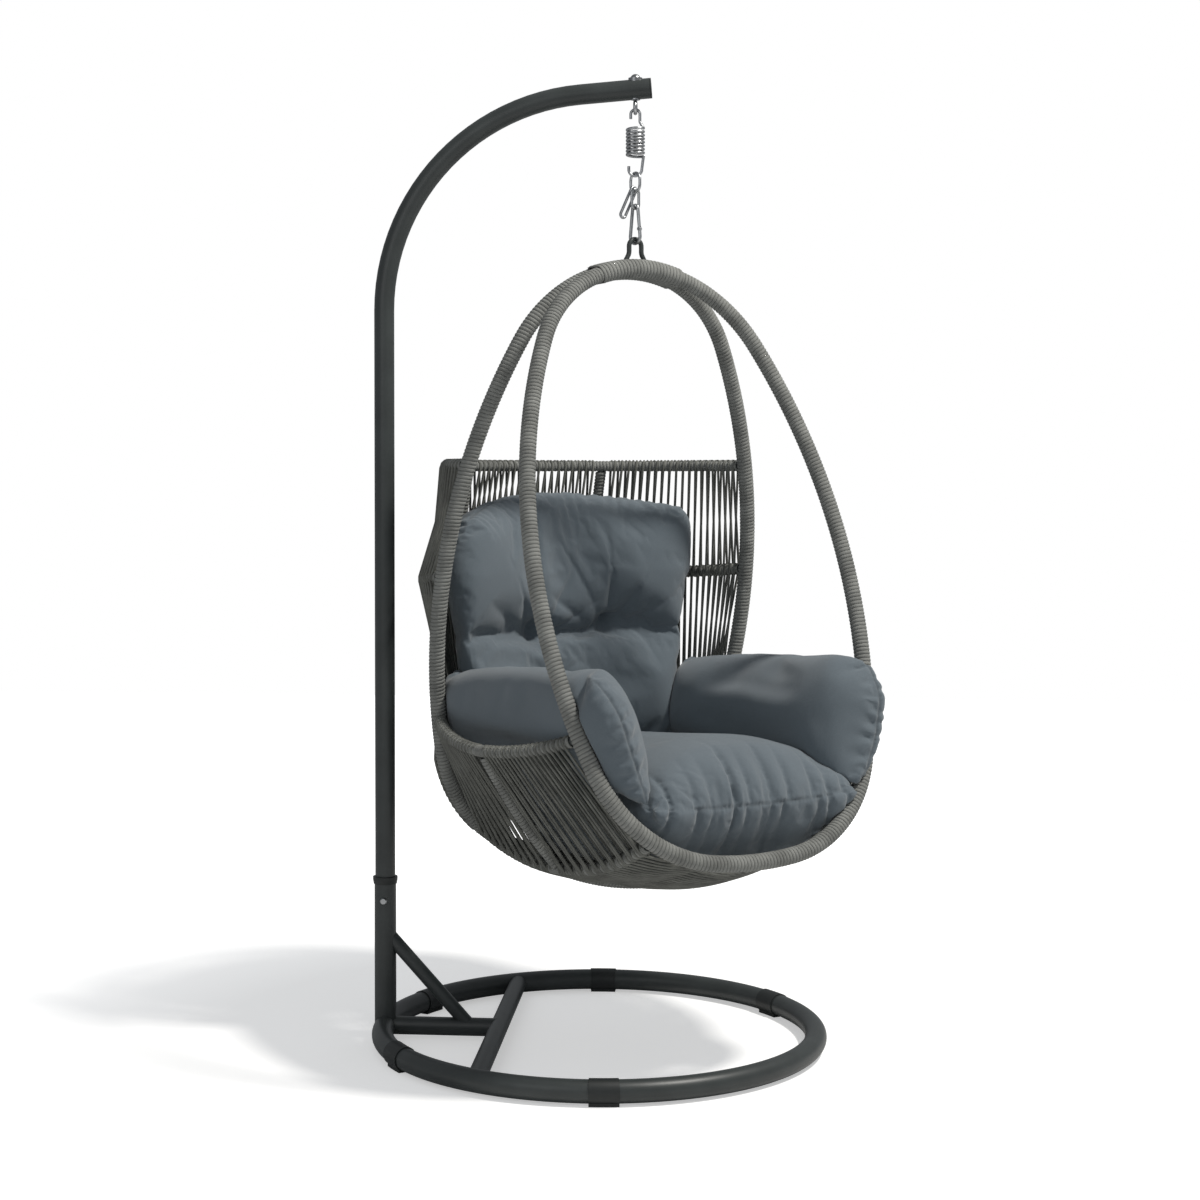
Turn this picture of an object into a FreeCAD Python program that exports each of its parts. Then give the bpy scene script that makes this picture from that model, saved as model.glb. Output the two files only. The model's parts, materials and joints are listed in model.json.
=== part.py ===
import FreeCAD, Part
import math
import os

os.makedirs("parts", exist_ok=True)
V = FreeCAD.Vector

# Hanging egg chair, in millimetres. X runs from the post to the hanging point, Z is up, the floor is at zero.
# The basket is drawn in its own directions first: X forward out of the seat, Y to the left of who sits in it.

# Base ring and its fittings
RING_RADIUS = 452.0
RING_TUBE = 45.0
STEEL_WALL = 1.5
FOOT_ANGLES = (36.0, 92.5, 150.0, 212.0, 275.0)
FOOT_HALF_ANGLE = 3.6
FOOT_WALL = 2.0
FOOT_PAD_WIDTH = 30.0
FLOOR_TO_SLEEVE = 1.0
SPIGOT_HALF_ANGLE = 5.0
SLIP_GAP = 0.2
BUTT_GAP = 0.4
CROSSBAR_TUBE = 38.0
CROSSBAR_FROM_CENTRE = 211.0
BRACE_TUBE = 29.0
BRACE_TOP_ABOVE_RING = 201.0
BRACE_FOOT_FROM_POST = 181.0

# Post socket and pole
SOCKET_TUBE = 45.6
SOCKET_TOP_ABOVE_RING = 307.0
POLE_TUBE = 42.0
POLE_FOOT_ABOVE_RING = 150.0
POLE_BEND_ABOVE_RING = 1508.0
POLE_BEND_RADIUS = 446.0
POLE_BEND_TURN = 85.7
ARM_END_FROM_POST = 557.0
COLLAR_WALL = 3.0
COLLAR_SKIRT = 6.0
COLLAR_HEIGHT = 9.0
POLE_BOLT_DIA = 8.0
POLE_BOLT_ABOVE_RING = 267.0
BOLT_HEAD_DIA = 15.0
BOLT_HEAD_HEIGHT = 5.0
NUT_FLATS = 13.0
NUT_HEIGHT = 6.5
HOLE_CLEARANCE = 0.2
PLUG_CAP = 3.0
PLUG_DEPTH = 16.0

# Eye bolt, spring and chain
HANG_FROM_CENTRE = 74.9
EYE_WIRE = 8.0
EYE_RADIUS = 11.5
EYE_BELOW_ARM = 0.7
WASHER_DIA = 29.0
WASHER_RISE = 2.5
LOWER_WASHER_DIA = 20.0
CAP_NUT_DIA = 21.0
CAP_NUT_HEIGHT = 8.0
HANG_GAP = 0.3
SPRING_WIRE = 6.0
COIL_RADIUS = 17.0
COIL_TURNS = 8
COIL_PITCH = 7.25
TOP_HOOK_RADIUS = 9.5
TOP_HOOK_TO_COIL = 32.0
BOTTOM_HOOK_RADIUS = 13.5
BOTTOM_HOOK_TO_COIL = 27.0
LINK_WIRE = 6.0
UPPER_LINK_WIDTH = 38.0
UPPER_LINK_LENGTH = 46.0
UPPER_LINK_AZIMUTH = -51.0
LOWER_LINK_WIDTH = 24.0
LOWER_LINK_LENGTH = 46.0
LOWER_LINK_AZIMUTH = 40.0
SPARE_LINK_WIDTH = 19.0
SPARE_LINK_LENGTH = 78.0
SPARE_LINK_LEAN = 28.0
SPARE_LINK_AZIMUTH = 42.0
SPARE_LINK_OFFSET = -8.3
SPARE_LINK_GAP = 0.8
HOOK_WIRE = 7.0
HOOK_LENGTH = 86.0
HOOK_TOP_RADIUS = 8.0
HOOK_BOTTOM_RADIUS = 14.5
HOOK_AZIMUTH = -44.0
GATE_PIN_DIA = 3.0
GATE_PIN_BELOW_MIDDLE = 10.0
GATE_LENGTH = 34.0
GATE_KNUCKLE_DIA = 8.0
GATE_TONGUE = 3.0
GATE_LAP = 4.0
RUNNING_GAP = 0.05

# Basket: direction, egg hoops
BASKET_TURN = -54.18
APEX_HEIGHT = 1615.0
HOOP_TUBE = 25.0
HOOP_WALL = 1.2
HOOP_SPREAD = 25.2
ROPE = 4.0
WRAP_GAP = 0.2
WELD_GAP = 0.1
FRONT_TILT = 19.4
FRONT_ARCS = ((285.2, 64.4), (1214.0, 42.5), (278.4, 66.2))
REAR_TILT = -10.8
REAR_ARCS = ((279.3, 63.3), (1248.4, 41.1), (322.7, 71.5))
WRAP_START_TURN = 21.2
TOP_WRAP_WIDTH = 74.0
TOP_WRAP_HEIGHT = 41.0
TOP_WRAP_RADIUS = 298.0
TOP_WRAP_HALF_TURN = 19.2
LOOP_ROD = 10.0
LOOP_RADIUS = 15.0
LOOP_LEG = 10.0
LOOP_FLARE_TURN = 30.0
LOOP_FLARE_RADIUS = 20.0

# Basket: bars
BAR_TUBE = 16.0
BAR_WALL = 1.2
UPPER_BACK_HEIGHT = 1209.0
UPPER_BACK_BULGE = 362.0
LOWER_BACK_HEIGHT = 981.0
LOWER_BACK_BULGE = 358.0
LOWER_BACK_SAG = 27.0
BACK_BAR_BREAK = 50.0
REAR_RAIL_HEIGHT = 447.0
REAR_RAIL_BULGE = 165.0
REAR_RAIL_SAG = 8.0
RIB_OFFSET = 172.0
RIB_FOOT_OFFSET = 140.0
ARM_REAR_HEIGHT = 685.0
ARM_FRONT_HEIGHT = 694.0
ARM_MIDDLE = (80.0, 407.0, 648.0)
RAIL_FRONT_HEIGHT = 500.0
RAIL_MIDDLE = (80.0, 230.0, 400.0)
KEEL_MIDDLE = (80.0, 0.0, 352.0)
PANEL_THICKNESS = 6.0
PANEL_SETBACK = 0.9
SKIN_STATIONS = 9
TRACK_POINTS = 241

# Cushions: outlines across the left half, each point its distance from the middle and its height
CUSHION_GAP = 0.3
SEAT_TOP = 568.0
SEAT_CROWN = 35.0
SEAT_FRONT = 424.0
SEAT_REAR = -280.0
SEAT_FRONT_OUTLINE = ((40.0, 1.5), (120.0, 14.5), (172.0, 34.5), (222.0, 78.5))
SEAT_FRONT_TOP = (222.0, SEAT_TOP)
SEAT_HOOP_TOP = (222.0, SEAT_TOP + SEAT_CROWN)
SEAT_MIDDLE_OUTLINE = ((40.0, -22.0), (140.0, -8.0), (215.0, 14.0), (276.0, 60.0))
SEAT_MIDDLE_TOP = (268.0, SEAT_TOP + SEAT_CROWN)
SEAT_REAR_OUTLINE = ((40.0, 0.0), (90.0, 0.0), (150.0, 2.0), (195.0, 40.0))
SEAT_REAR_TOP = (190.0, SEAT_TOP + SEAT_CROWN)
SEAT_DOME = 62.0
SEAT_DOME_START = -148.0
SEAT_DOME_FRONT = 8.0
SEAT_DOME_WIDTH = 135.0
SEAT_SHOULDER = 185.0
ON_SEAT = SEAT_TOP + SEAT_CROWN + CUSHION_GAP
BACK_TOP = 1142.0
BACK_THICKNESS = 116.0
# Back cushion at four heights: height, face behind the middle, half width, how far the face wraps forward
BACK_LEVELS = ((ON_SEAT, -215.0, 205.0, 60.0), (780.0, -255.0, 240.0, 70.0), (980.0, -280.0, 262.0, 110.0),
               (BACK_TOP, -300.0, 225.0, 90.0))
BOLSTER_REAR = -148.0
BOLSTER_FRONT = 362.0
BOLSTER_OUTLINE = ((196.0, ON_SEAT), (262.0, ON_SEAT), (312.0, 690.0), (334.0, 795.0), (316.0, 812.0),
                   (250.0, 806.0), (214.0, 690.0))
BOLSTER_REAR_OUTLINE = ((206.0, ON_SEAT), (280.0, ON_SEAT), (325.0, 690.0), (338.0, 770.0), (320.0, 785.0),
                        (262.0, 780.0), (224.0, 690.0))

RING_HEIGHT = RING_TUBE / 2 + SLIP_GAP + FOOT_WALL + FLOOR_TO_SLEEVE
POST_X = -RING_RADIUS
WRAPPED_HOOP = HOOP_TUBE + 2 * ROPE
WRAPPED_BAR = BAR_TUBE + 2 * ROPE
nodes = {}


def section(centre, heading, outer, inner):
    disc = Part.Face(Part.Wire(Part.makeCircle(outer / 2, centre, heading)))
    if inner <= 0:
        return disc
    return disc.cut(Part.Face(Part.Wire(Part.makeCircle(inner / 2, centre, heading))))


def pipe(edges, outer, inner=0.0):
    """Round bar or tube along edges that are straight or circular."""
    runs = []
    for edge in edges:
        start = edge.valueAt(edge.FirstParameter)
        face = section(start, edge.tangentAt(edge.FirstParameter), outer, inner)
        if isinstance(edge.Curve, Part.Circle):
            turn = math.degrees(edge.LastParameter - edge.FirstParameter)
            runs.append(face.revolve(edge.Curve.Center, edge.Curve.Axis, turn))
        else:
            runs.append(face.extrude(edge.valueAt(edge.LastParameter) - start))
    if len(runs) == 1:
        return runs[0]
    return runs[0].fuse(runs[1:])


def line(start, end):
    return Part.makeLine(start, end)


def arc(start, middle, end):
    return Part.Arc(start, middle, end).toShape()


def tangent_arc(start, heading, end):
    """Arc that leaves start along heading and ends at end, with the heading it ends in."""
    chord = end - start
    along = V(chord).normalize()
    unit = V(heading).normalize()
    lean = unit.getAngle(along)
    side = (unit - along * unit.dot(along)).normalize()
    middle = start + chord * 0.5 + side * (chord.Length / 2 * math.tan(lean / 2))
    return arc(start, middle, end), along * (2 * unit.dot(along)) - unit


def cylinder(base, heading, diameter, length):
    return Part.makeCylinder(diameter / 2, length, base, heading)


def solids(shape):
    if len(shape.Solids) == 1:
        return shape.Solids[0]
    return Part.makeCompound(shape.Solids)


def mirrored(shape):
    """The other side of the basket, across its middle plane."""
    return shape.mirror(V(0, 0, 0), V(0, 1, 0))


def polar(angle, radius=RING_RADIUS, height=RING_HEIGHT):
    turn = math.radians(angle)
    return V(radius * math.cos(turn), radius * math.sin(turn), height)


def ring_arc(first, last):
    return arc(polar(first), polar((first + last) / 2), polar(last))


def ring_circle():
    return [ring_arc(0, 180), ring_arc(180, 360)]


# Stand
def base_ring():
    names = ("ring_rear_right_section", "ring_rear_left_section", "ring_post_section",
             "ring_front_left_section", "ring_front_right_section")
    trim = math.degrees(BUTT_GAP / 2 / RING_RADIUS)
    for number, name in enumerate(names):
        first = FOOT_ANGLES[number]
        last = FOOT_ANGLES[(number + 1) % len(FOOT_ANGLES)]
        if last < first:
            last += 360
        nodes[name] = pipe([ring_arc(first + trim, last - trim)], RING_TUBE, RING_TUBE - 2 * STEEL_WALL)
    sleeves = []
    spigots = []
    for angle in FOOT_ANGLES:
        reach = ring_arc(angle - FOOT_HALF_ANGLE, angle + FOOT_HALF_ANGLE)
        sleeve = pipe([reach], RING_TUBE + 2 * (SLIP_GAP + FOOT_WALL))
        corner = polar(angle - FOOT_HALF_ANGLE, RING_RADIUS - FOOT_PAD_WIDTH / 2, 0)
        outward = V(FOOT_PAD_WIDTH, 0, 0)
        rise = V(0, 0, RING_HEIGHT)
        pad = Part.makePolygon([V(0, 0, 0), outward, outward + rise, rise, V(0, 0, 0)])
        pad.rotate(V(0, 0, 0), V(0, 0, 1), angle - FOOT_HALF_ANGLE)
        pad.translate(corner)
        pad = Part.Face(pad).revolve(V(0, 0, 0), V(0, 0, 1), 2 * FOOT_HALF_ANGLE)
        bore_line = ring_arc(angle - 2 * FOOT_HALF_ANGLE, angle + 2 * FOOT_HALF_ANGLE)
        bore = pipe([bore_line], RING_TUBE + 2 * SLIP_GAP)
        sleeves.append(solids(sleeve.fuse(pad).cut(bore)))
        inside = RING_TUBE - 2 * STEEL_WALL - 2 * SLIP_GAP
        plug = ring_arc(angle - SPIGOT_HALF_ANGLE, angle + SPIGOT_HALF_ANGLE)
        spigots.append(pipe([plug], inside, inside - 2 * STEEL_WALL))
    nodes["foot_sleeves"] = Part.makeCompound(sleeves)
    nodes["ring_spigots"] = Part.makeCompound(spigots)


def base_bars():
    ring = pipe(ring_circle(), RING_TUBE + 2 * WELD_GAP)
    reach = math.sqrt(RING_RADIUS ** 2 - CROSSBAR_FROM_CENTRE ** 2)
    left = V(-CROSSBAR_FROM_CENTRE, -reach, RING_HEIGHT)
    right = V(-CROSSBAR_FROM_CENTRE, reach, RING_HEIGHT)
    crossbar = pipe([line(left, right)], CROSSBAR_TUBE, CROSSBAR_TUBE - 2 * STEEL_WALL)
    nodes["base_crossbar"] = crossbar.cut(ring)
    crossbar_core = pipe([line(left, right)], CROSSBAR_TUBE + 2 * WELD_GAP)
    foot = V(POST_X, 0, RING_HEIGHT)
    middle = V(-CROSSBAR_FROM_CENTRE, 0, RING_HEIGHT)
    strut = pipe([line(foot, middle)], CROSSBAR_TUBE, CROSSBAR_TUBE - 2 * STEEL_WALL)
    nodes["base_strut"] = strut.cut([ring, crossbar_core])
    strut_core = pipe([line(foot, middle)], CROSSBAR_TUBE + 2 * WELD_GAP)
    socket_line = line(foot, foot + V(0, 0, SOCKET_TOP_ABOVE_RING))
    socket = pipe([socket_line], SOCKET_TUBE, SOCKET_TUBE - 2 * STEEL_WALL)
    bolt_side = V(0, SOCKET_TUBE, 0)
    bolt_middle = foot + V(0, 0, POLE_BOLT_ABOVE_RING)
    hole = cylinder(bolt_middle - bolt_side, V(0, 1, 0), POLE_BOLT_DIA + 2 * HOLE_CLEARANCE, 2 * SOCKET_TUBE)
    nodes["post_socket"] = socket.cut([ring, strut_core, hole])
    socket_core = pipe([socket_line], SOCKET_TUBE + 2 * WELD_GAP)
    brace_line = line(foot + V(0, 0, BRACE_TOP_ABOVE_RING), foot + V(BRACE_FOOT_FROM_POST, 0, 0))
    brace = pipe([brace_line], BRACE_TUBE, BRACE_TUBE - 2 * STEEL_WALL)
    nodes["post_brace"] = solids(brace.cut([socket_core, strut_core]))
    return socket_core


def pole_edges():
    foot = V(POST_X, 0, RING_HEIGHT + POLE_FOOT_ABOVE_RING)
    bend = V(POST_X, 0, RING_HEIGHT + POLE_BEND_ABOVE_RING)
    turn = math.radians(POLE_BEND_TURN)

    def on_bend(part):
        angle = turn * part
        return bend + V(POLE_BEND_RADIUS * (1 - math.cos(angle)), 0, POLE_BEND_RADIUS * math.sin(angle))

    last = on_bend(1)
    heading = V(math.sin(turn), 0, math.cos(turn))
    arm = (ARM_END_FROM_POST - (last.x - POST_X)) / heading.x
    tip = last + heading * arm
    return [line(foot, bend), arc(bend, on_bend(0.5), last), line(last, tip)], tip, heading


def arm_height_at(x):
    edges, tip, heading = pole_edges()
    return tip.z - (tip.x - x) * heading.z / heading.x


def pole_and_socket_parts(socket_core):
    edges, tip, heading = pole_edges()
    hang = V(HANG_FROM_CENTRE, 0, arm_height_at(HANG_FROM_CENTRE))
    bolt_middle = V(POST_X, 0, RING_HEIGHT + POLE_BOLT_ABOVE_RING)
    sideways = V(0, 1, 0)
    up = V(0, 0, 1)
    bolt_hole = POLE_BOLT_DIA + 2 * HOLE_CLEARANCE
    cross_hole = cylinder(bolt_middle - sideways * POLE_TUBE, sideways, bolt_hole, 2 * POLE_TUBE)
    eye_hole = cylinder(hang - up * POLE_TUBE, up, EYE_WIRE + 2 * HOLE_CLEARANCE, 2 * POLE_TUBE)
    pole = pipe(edges, POLE_TUBE, POLE_TUBE - 2 * STEEL_WALL)
    nodes["pole"] = pole.cut([cross_hole, eye_hole])
    inside = POLE_TUBE - 2 * STEEL_WALL - 2 * SLIP_GAP
    cap = cylinder(tip + heading * SLIP_GAP, heading, POLE_TUBE, PLUG_CAP)
    stem = cylinder(tip - heading * PLUG_DEPTH, heading, inside, PLUG_DEPTH + PLUG_CAP)
    nodes["pole_end_plug"] = cap.fuse(stem)

    top = RING_HEIGHT + SOCKET_TOP_ABOVE_RING + SLIP_GAP
    inner = POLE_TUBE / 2 + SLIP_GAP
    outer = SOCKET_TUBE / 2 + SLIP_GAP
    rim = outer + COLLAR_WALL
    skirt = top - COLLAR_SKIRT
    crown = top + COLLAR_HEIGHT
    profile = [V(inner, 0, top), V(outer, 0, top), V(outer, 0, skirt), V(outer + COLLAR_WALL / 2, 0, skirt),
               V(rim, 0, top + COLLAR_SKIRT / 2), V(rim, 0, crown), V(inner, 0, crown), V(inner, 0, top)]
    collar = Part.Face(Part.makePolygon(profile)).revolve(V(0, 0, 0), up, 360)
    collar.translate(V(POST_X, 0, 0))
    nodes["socket_collar"] = collar

    side = SOCKET_TUBE / 2
    head = Part.makeSphere(BOLT_HEAD_DIA / 2, bolt_middle - sideways * side)
    face = bolt_middle - sideways * (side + BOLT_HEAD_HEIGHT)
    head = head.common(cylinder(face, sideways, BOLT_HEAD_DIA, BOLT_HEAD_HEIGHT * 1.5)).cut(socket_core)
    shank_end = side + NUT_HEIGHT + HOLE_CLEARANCE
    shank = cylinder(bolt_middle - sideways * (side + 1), sideways, POLE_BOLT_DIA, side + 1 + shank_end)
    nodes["pole_bolt"] = solids(head.fuse(shank))
    nodes["pole_bolt_nut"] = hex_nut(bolt_middle + sideways * (side + HOLE_CLEARANCE), sideways, POLE_BOLT_DIA)
    return hang


def hex_nut(base, heading, bore):
    corner = NUT_FLATS / math.sqrt(3)
    points = [polar(60 * n, corner, 0) for n in range(7)]
    body = Part.Face(Part.makePolygon(points)).extrude(V(0, 0, NUT_HEIGHT))
    body = body.cut(Part.makeCylinder(bore / 2 + RUNNING_GAP, NUT_HEIGHT))
    body.Placement = FreeCAD.Placement(base, FreeCAD.Rotation(V(0, 0, 1), heading))
    return body


# Hanging gear, on the vertical line through the hole in the arm
def loop_edges(top, width, length, wire, azimuth):
    """Chain link as two half circles and two straight sides; top is the middle of its wire at the upper end."""
    radius = (width - wire) / 2
    straight = length - wire - 2 * radius
    upper = V(0, 0, -radius)
    lower = V(0, 0, -radius - straight)
    side = V(radius, 0, 0)
    edges = [arc(upper + side, V(0, 0, 0), upper - side), line(upper - side, lower - side),
             arc(lower - side, lower - V(0, 0, radius), lower + side), line(lower + side, upper + side)]
    placed = []
    for edge in edges:
        edge.rotate(V(0, 0, 0), V(0, 0, 1), azimuth)
        edge.translate(top)
        placed.append(edge)
    return placed


def hanging_gear(hang):
    edges, tip, heading = pole_edges()
    pole_fat = pipe(edges, POLE_TUBE + 2 * SLIP_GAP)
    up = V(0, 0, 1)
    under_arm = hang.z - POLE_TUBE / 2 / math.sin(heading.getAngle(up))
    over_arm = hang.z + POLE_TUBE / 2 / math.sin(heading.getAngle(up))
    eye_top = under_arm - EYE_BELOW_ARM
    eye_middle = V(hang.x, 0, eye_top - EYE_WIRE / 2 - EYE_RADIUS)
    eye = Part.makeTorus(EYE_RADIUS, EYE_WIRE / 2, eye_middle, V(1, 0, 0))
    washer_top = over_arm + WASHER_RISE
    shank_foot = eye_middle + V(0, 0, EYE_RADIUS)
    shank = cylinder(shank_foot, up, EYE_WIRE, washer_top + CAP_NUT_HEIGHT / 2 - shank_foot.z)
    nodes["eye_bolt"] = solids(eye.fuse(shank))
    hole = cylinder(shank_foot, up, EYE_WIRE + 2 * HOLE_CLEARANCE, 4 * POLE_TUBE)
    upper_washer = cylinder(V(hang.x, 0, hang.z), up, WASHER_DIA, washer_top - hang.z).cut([pole_fat, hole])
    lower_washer = cylinder(V(hang.x, 0, eye_top + SLIP_GAP), up, LOWER_WASHER_DIA, POLE_TUBE / 2)
    lower_washer = lower_washer.cut([pole_fat, hole])
    nodes["eye_bolt_washers"] = Part.makeCompound([upper_washer.Solids[0], lower_washer.Solids[0]])
    nut_seat = V(hang.x, 0, washer_top + SLIP_GAP)
    dome_radius = (CAP_NUT_DIA ** 2 / 4 + CAP_NUT_HEIGHT ** 2) / (2 * CAP_NUT_HEIGHT)
    dome = Part.makeSphere(dome_radius, nut_seat + V(0, 0, CAP_NUT_HEIGHT - dome_radius))
    dome = dome.common(cylinder(nut_seat, up, CAP_NUT_DIA, CAP_NUT_HEIGHT))
    blind = cylinder(nut_seat, up, EYE_WIRE + 2 * RUNNING_GAP, CAP_NUT_HEIGHT / 2)
    nodes["cap_nut"] = solids(dome.cut(blind))

    eye_seat = eye_middle - V(0, 0, EYE_RADIUS)
    hook_top = eye_seat + V(0, 0, EYE_WIRE / 2 + SPRING_WIRE / 2 + HANG_GAP)
    hook_bottom = spring(hook_top)
    link_top = hook_bottom + V(0, 0, SPRING_WIRE / 2 + LINK_WIRE / 2 + HANG_GAP)
    upper_link = loop_edges(link_top, UPPER_LINK_WIDTH, UPPER_LINK_LENGTH, LINK_WIRE, UPPER_LINK_AZIMUTH)
    nodes["upper_chain_link"] = pipe(upper_link, LINK_WIRE)
    link_seat = link_top - V(0, 0, UPPER_LINK_LENGTH - LINK_WIRE)
    seat_radius = (UPPER_LINK_WIDTH - LINK_WIRE) / 2

    def in_round_end(offset, lift):
        """Point in the round end of the upper link, off its middle and lifted off its wire's own middle."""
        along = math.radians(UPPER_LINK_AZIMUTH)
        rise = seat_radius - math.sqrt((seat_radius - lift) ** 2 - offset ** 2)
        return link_seat + V(offset * math.cos(along), offset * math.sin(along), rise)

    lower_top = link_seat + V(0, 0, LINK_WIRE + HANG_GAP)
    lower_link = loop_edges(lower_top, LOWER_LINK_WIDTH, LOWER_LINK_LENGTH, LINK_WIRE, LOWER_LINK_AZIMUTH)
    nodes["lower_chain_link"] = pipe(lower_link, LINK_WIRE)
    spare_top = in_round_end(SPARE_LINK_OFFSET, LINK_WIRE + SPARE_LINK_GAP)
    spare_pivot = in_round_end(SPARE_LINK_OFFSET, 0)
    spare_turn = math.radians(SPARE_LINK_AZIMUTH)
    spare_axis = V(math.sin(spare_turn), -math.cos(spare_turn), 0)
    spare_link = loop_edges(spare_top, SPARE_LINK_WIDTH, SPARE_LINK_LENGTH, LINK_WIRE, SPARE_LINK_AZIMUTH)
    for edge in spare_link:
        edge.rotate(spare_pivot, spare_axis, -SPARE_LINK_LEAN)
    nodes["spare_link"] = pipe(spare_link, LINK_WIRE)
    lower_seat = lower_top - V(0, 0, LOWER_LINK_LENGTH - LINK_WIRE)
    hook_wire_top = lower_seat + V(0, 0, LINK_WIRE / 2 + HOOK_WIRE / 2 + HANG_GAP)
    pin, axis = snap_hook(hook_wire_top)
    hook_seat = hook_wire_top - V(0, 0, HOOK_LENGTH - HOOK_WIRE)
    loop_seat = hook_seat + V(0, 0, HOOK_WIRE / 2 + LOOP_ROD / 2 + HANG_GAP)
    return {"spring_swing": eye_seat, "link_swing": link_seat, "spare_swing": spare_pivot,
            "spare_axis": spare_axis, "hook_turn": lower_seat, "gate": pin, "gate_axis": axis,
            "loop_top": loop_seat}


def spring(hook_top):
    """Extension spring: upper hook, close coil, lower hook. Returns the middle of its lowest wire."""
    x = hook_top.x
    middle = hook_top - V(0, 0, TOP_HOOK_RADIUS)
    coil_top = middle.z - TOP_HOOK_TO_COIL + SPRING_WIRE / 2
    coil_foot = coil_top - COIL_TURNS * COIL_PITCH
    helix = Part.makeHelix(COIL_PITCH, COIL_TURNS * COIL_PITCH, COIL_RADIUS)
    start = section(V(COIL_RADIUS, 0, 0), V(0, 1, COIL_PITCH / (2 * math.pi * COIL_RADIUS)), SPRING_WIRE, 0)
    coil = Part.Wire(helix).makePipeShell([start.OuterWire], True, True)
    coil.translate(V(x, 0, coil_foot))
    left = V(-TOP_HOOK_RADIUS, 0, 0)
    riser_foot = V(x + COIL_RADIUS, 0, coil_top)
    elbow = middle - left - V(0, 0, TOP_HOOK_TO_COIL / 2)
    top = [line(riser_foot, elbow), line(elbow, middle - left),
           arc(middle - left, hook_top, middle + left),
           line(middle + left, middle + left - V(0, 0, TOP_HOOK_RADIUS))]
    lowest_middle = V(x, 0, coil_foot - BOTTOM_HOOK_TO_COIL)
    side = V(BOTTOM_HOOK_RADIUS, 0, 0)
    lowest = lowest_middle - V(0, 0, BOTTOM_HOOK_RADIUS)
    bottom = [line(V(x + COIL_RADIUS, 0, coil_foot), lowest_middle + side),
              arc(lowest_middle + side, lowest, lowest_middle - side),
              line(lowest_middle - side, lowest_middle - side + V(0, 0, BOTTOM_HOOK_RADIUS / 2))]

    def with_knees(edges, knees):
        return pipe(edges, SPRING_WIRE).fuse([Part.makeSphere(SPRING_WIRE / 2, knee) for knee in knees])

    upper = with_knees(top, (riser_foot, elbow))
    lower = with_knees(bottom, (V(x + COIL_RADIUS, 0, coil_foot), lowest_middle + side))
    reach = 2 * SPRING_WIRE
    corner = V(x + COIL_RADIUS - reach / 2, 0, 0)
    above_coil = coil_top + SPRING_WIRE / 2 + HANG_GAP
    below_coil = coil_foot - SPRING_WIRE / 2 - HANG_GAP
    before_top = Part.makeBox(reach, reach, reach, corner + V(0, -reach, above_coil - reach))
    after_foot = Part.makeBox(reach, reach, reach, corner + V(0, 0, below_coil))
    hooks = [solids(upper.cut(before_top)), solids(lower.cut(after_foot))]
    nodes["extension_spring"] = Part.makeCompound([coil.Solids[0]] + hooks)
    return lowest


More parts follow.
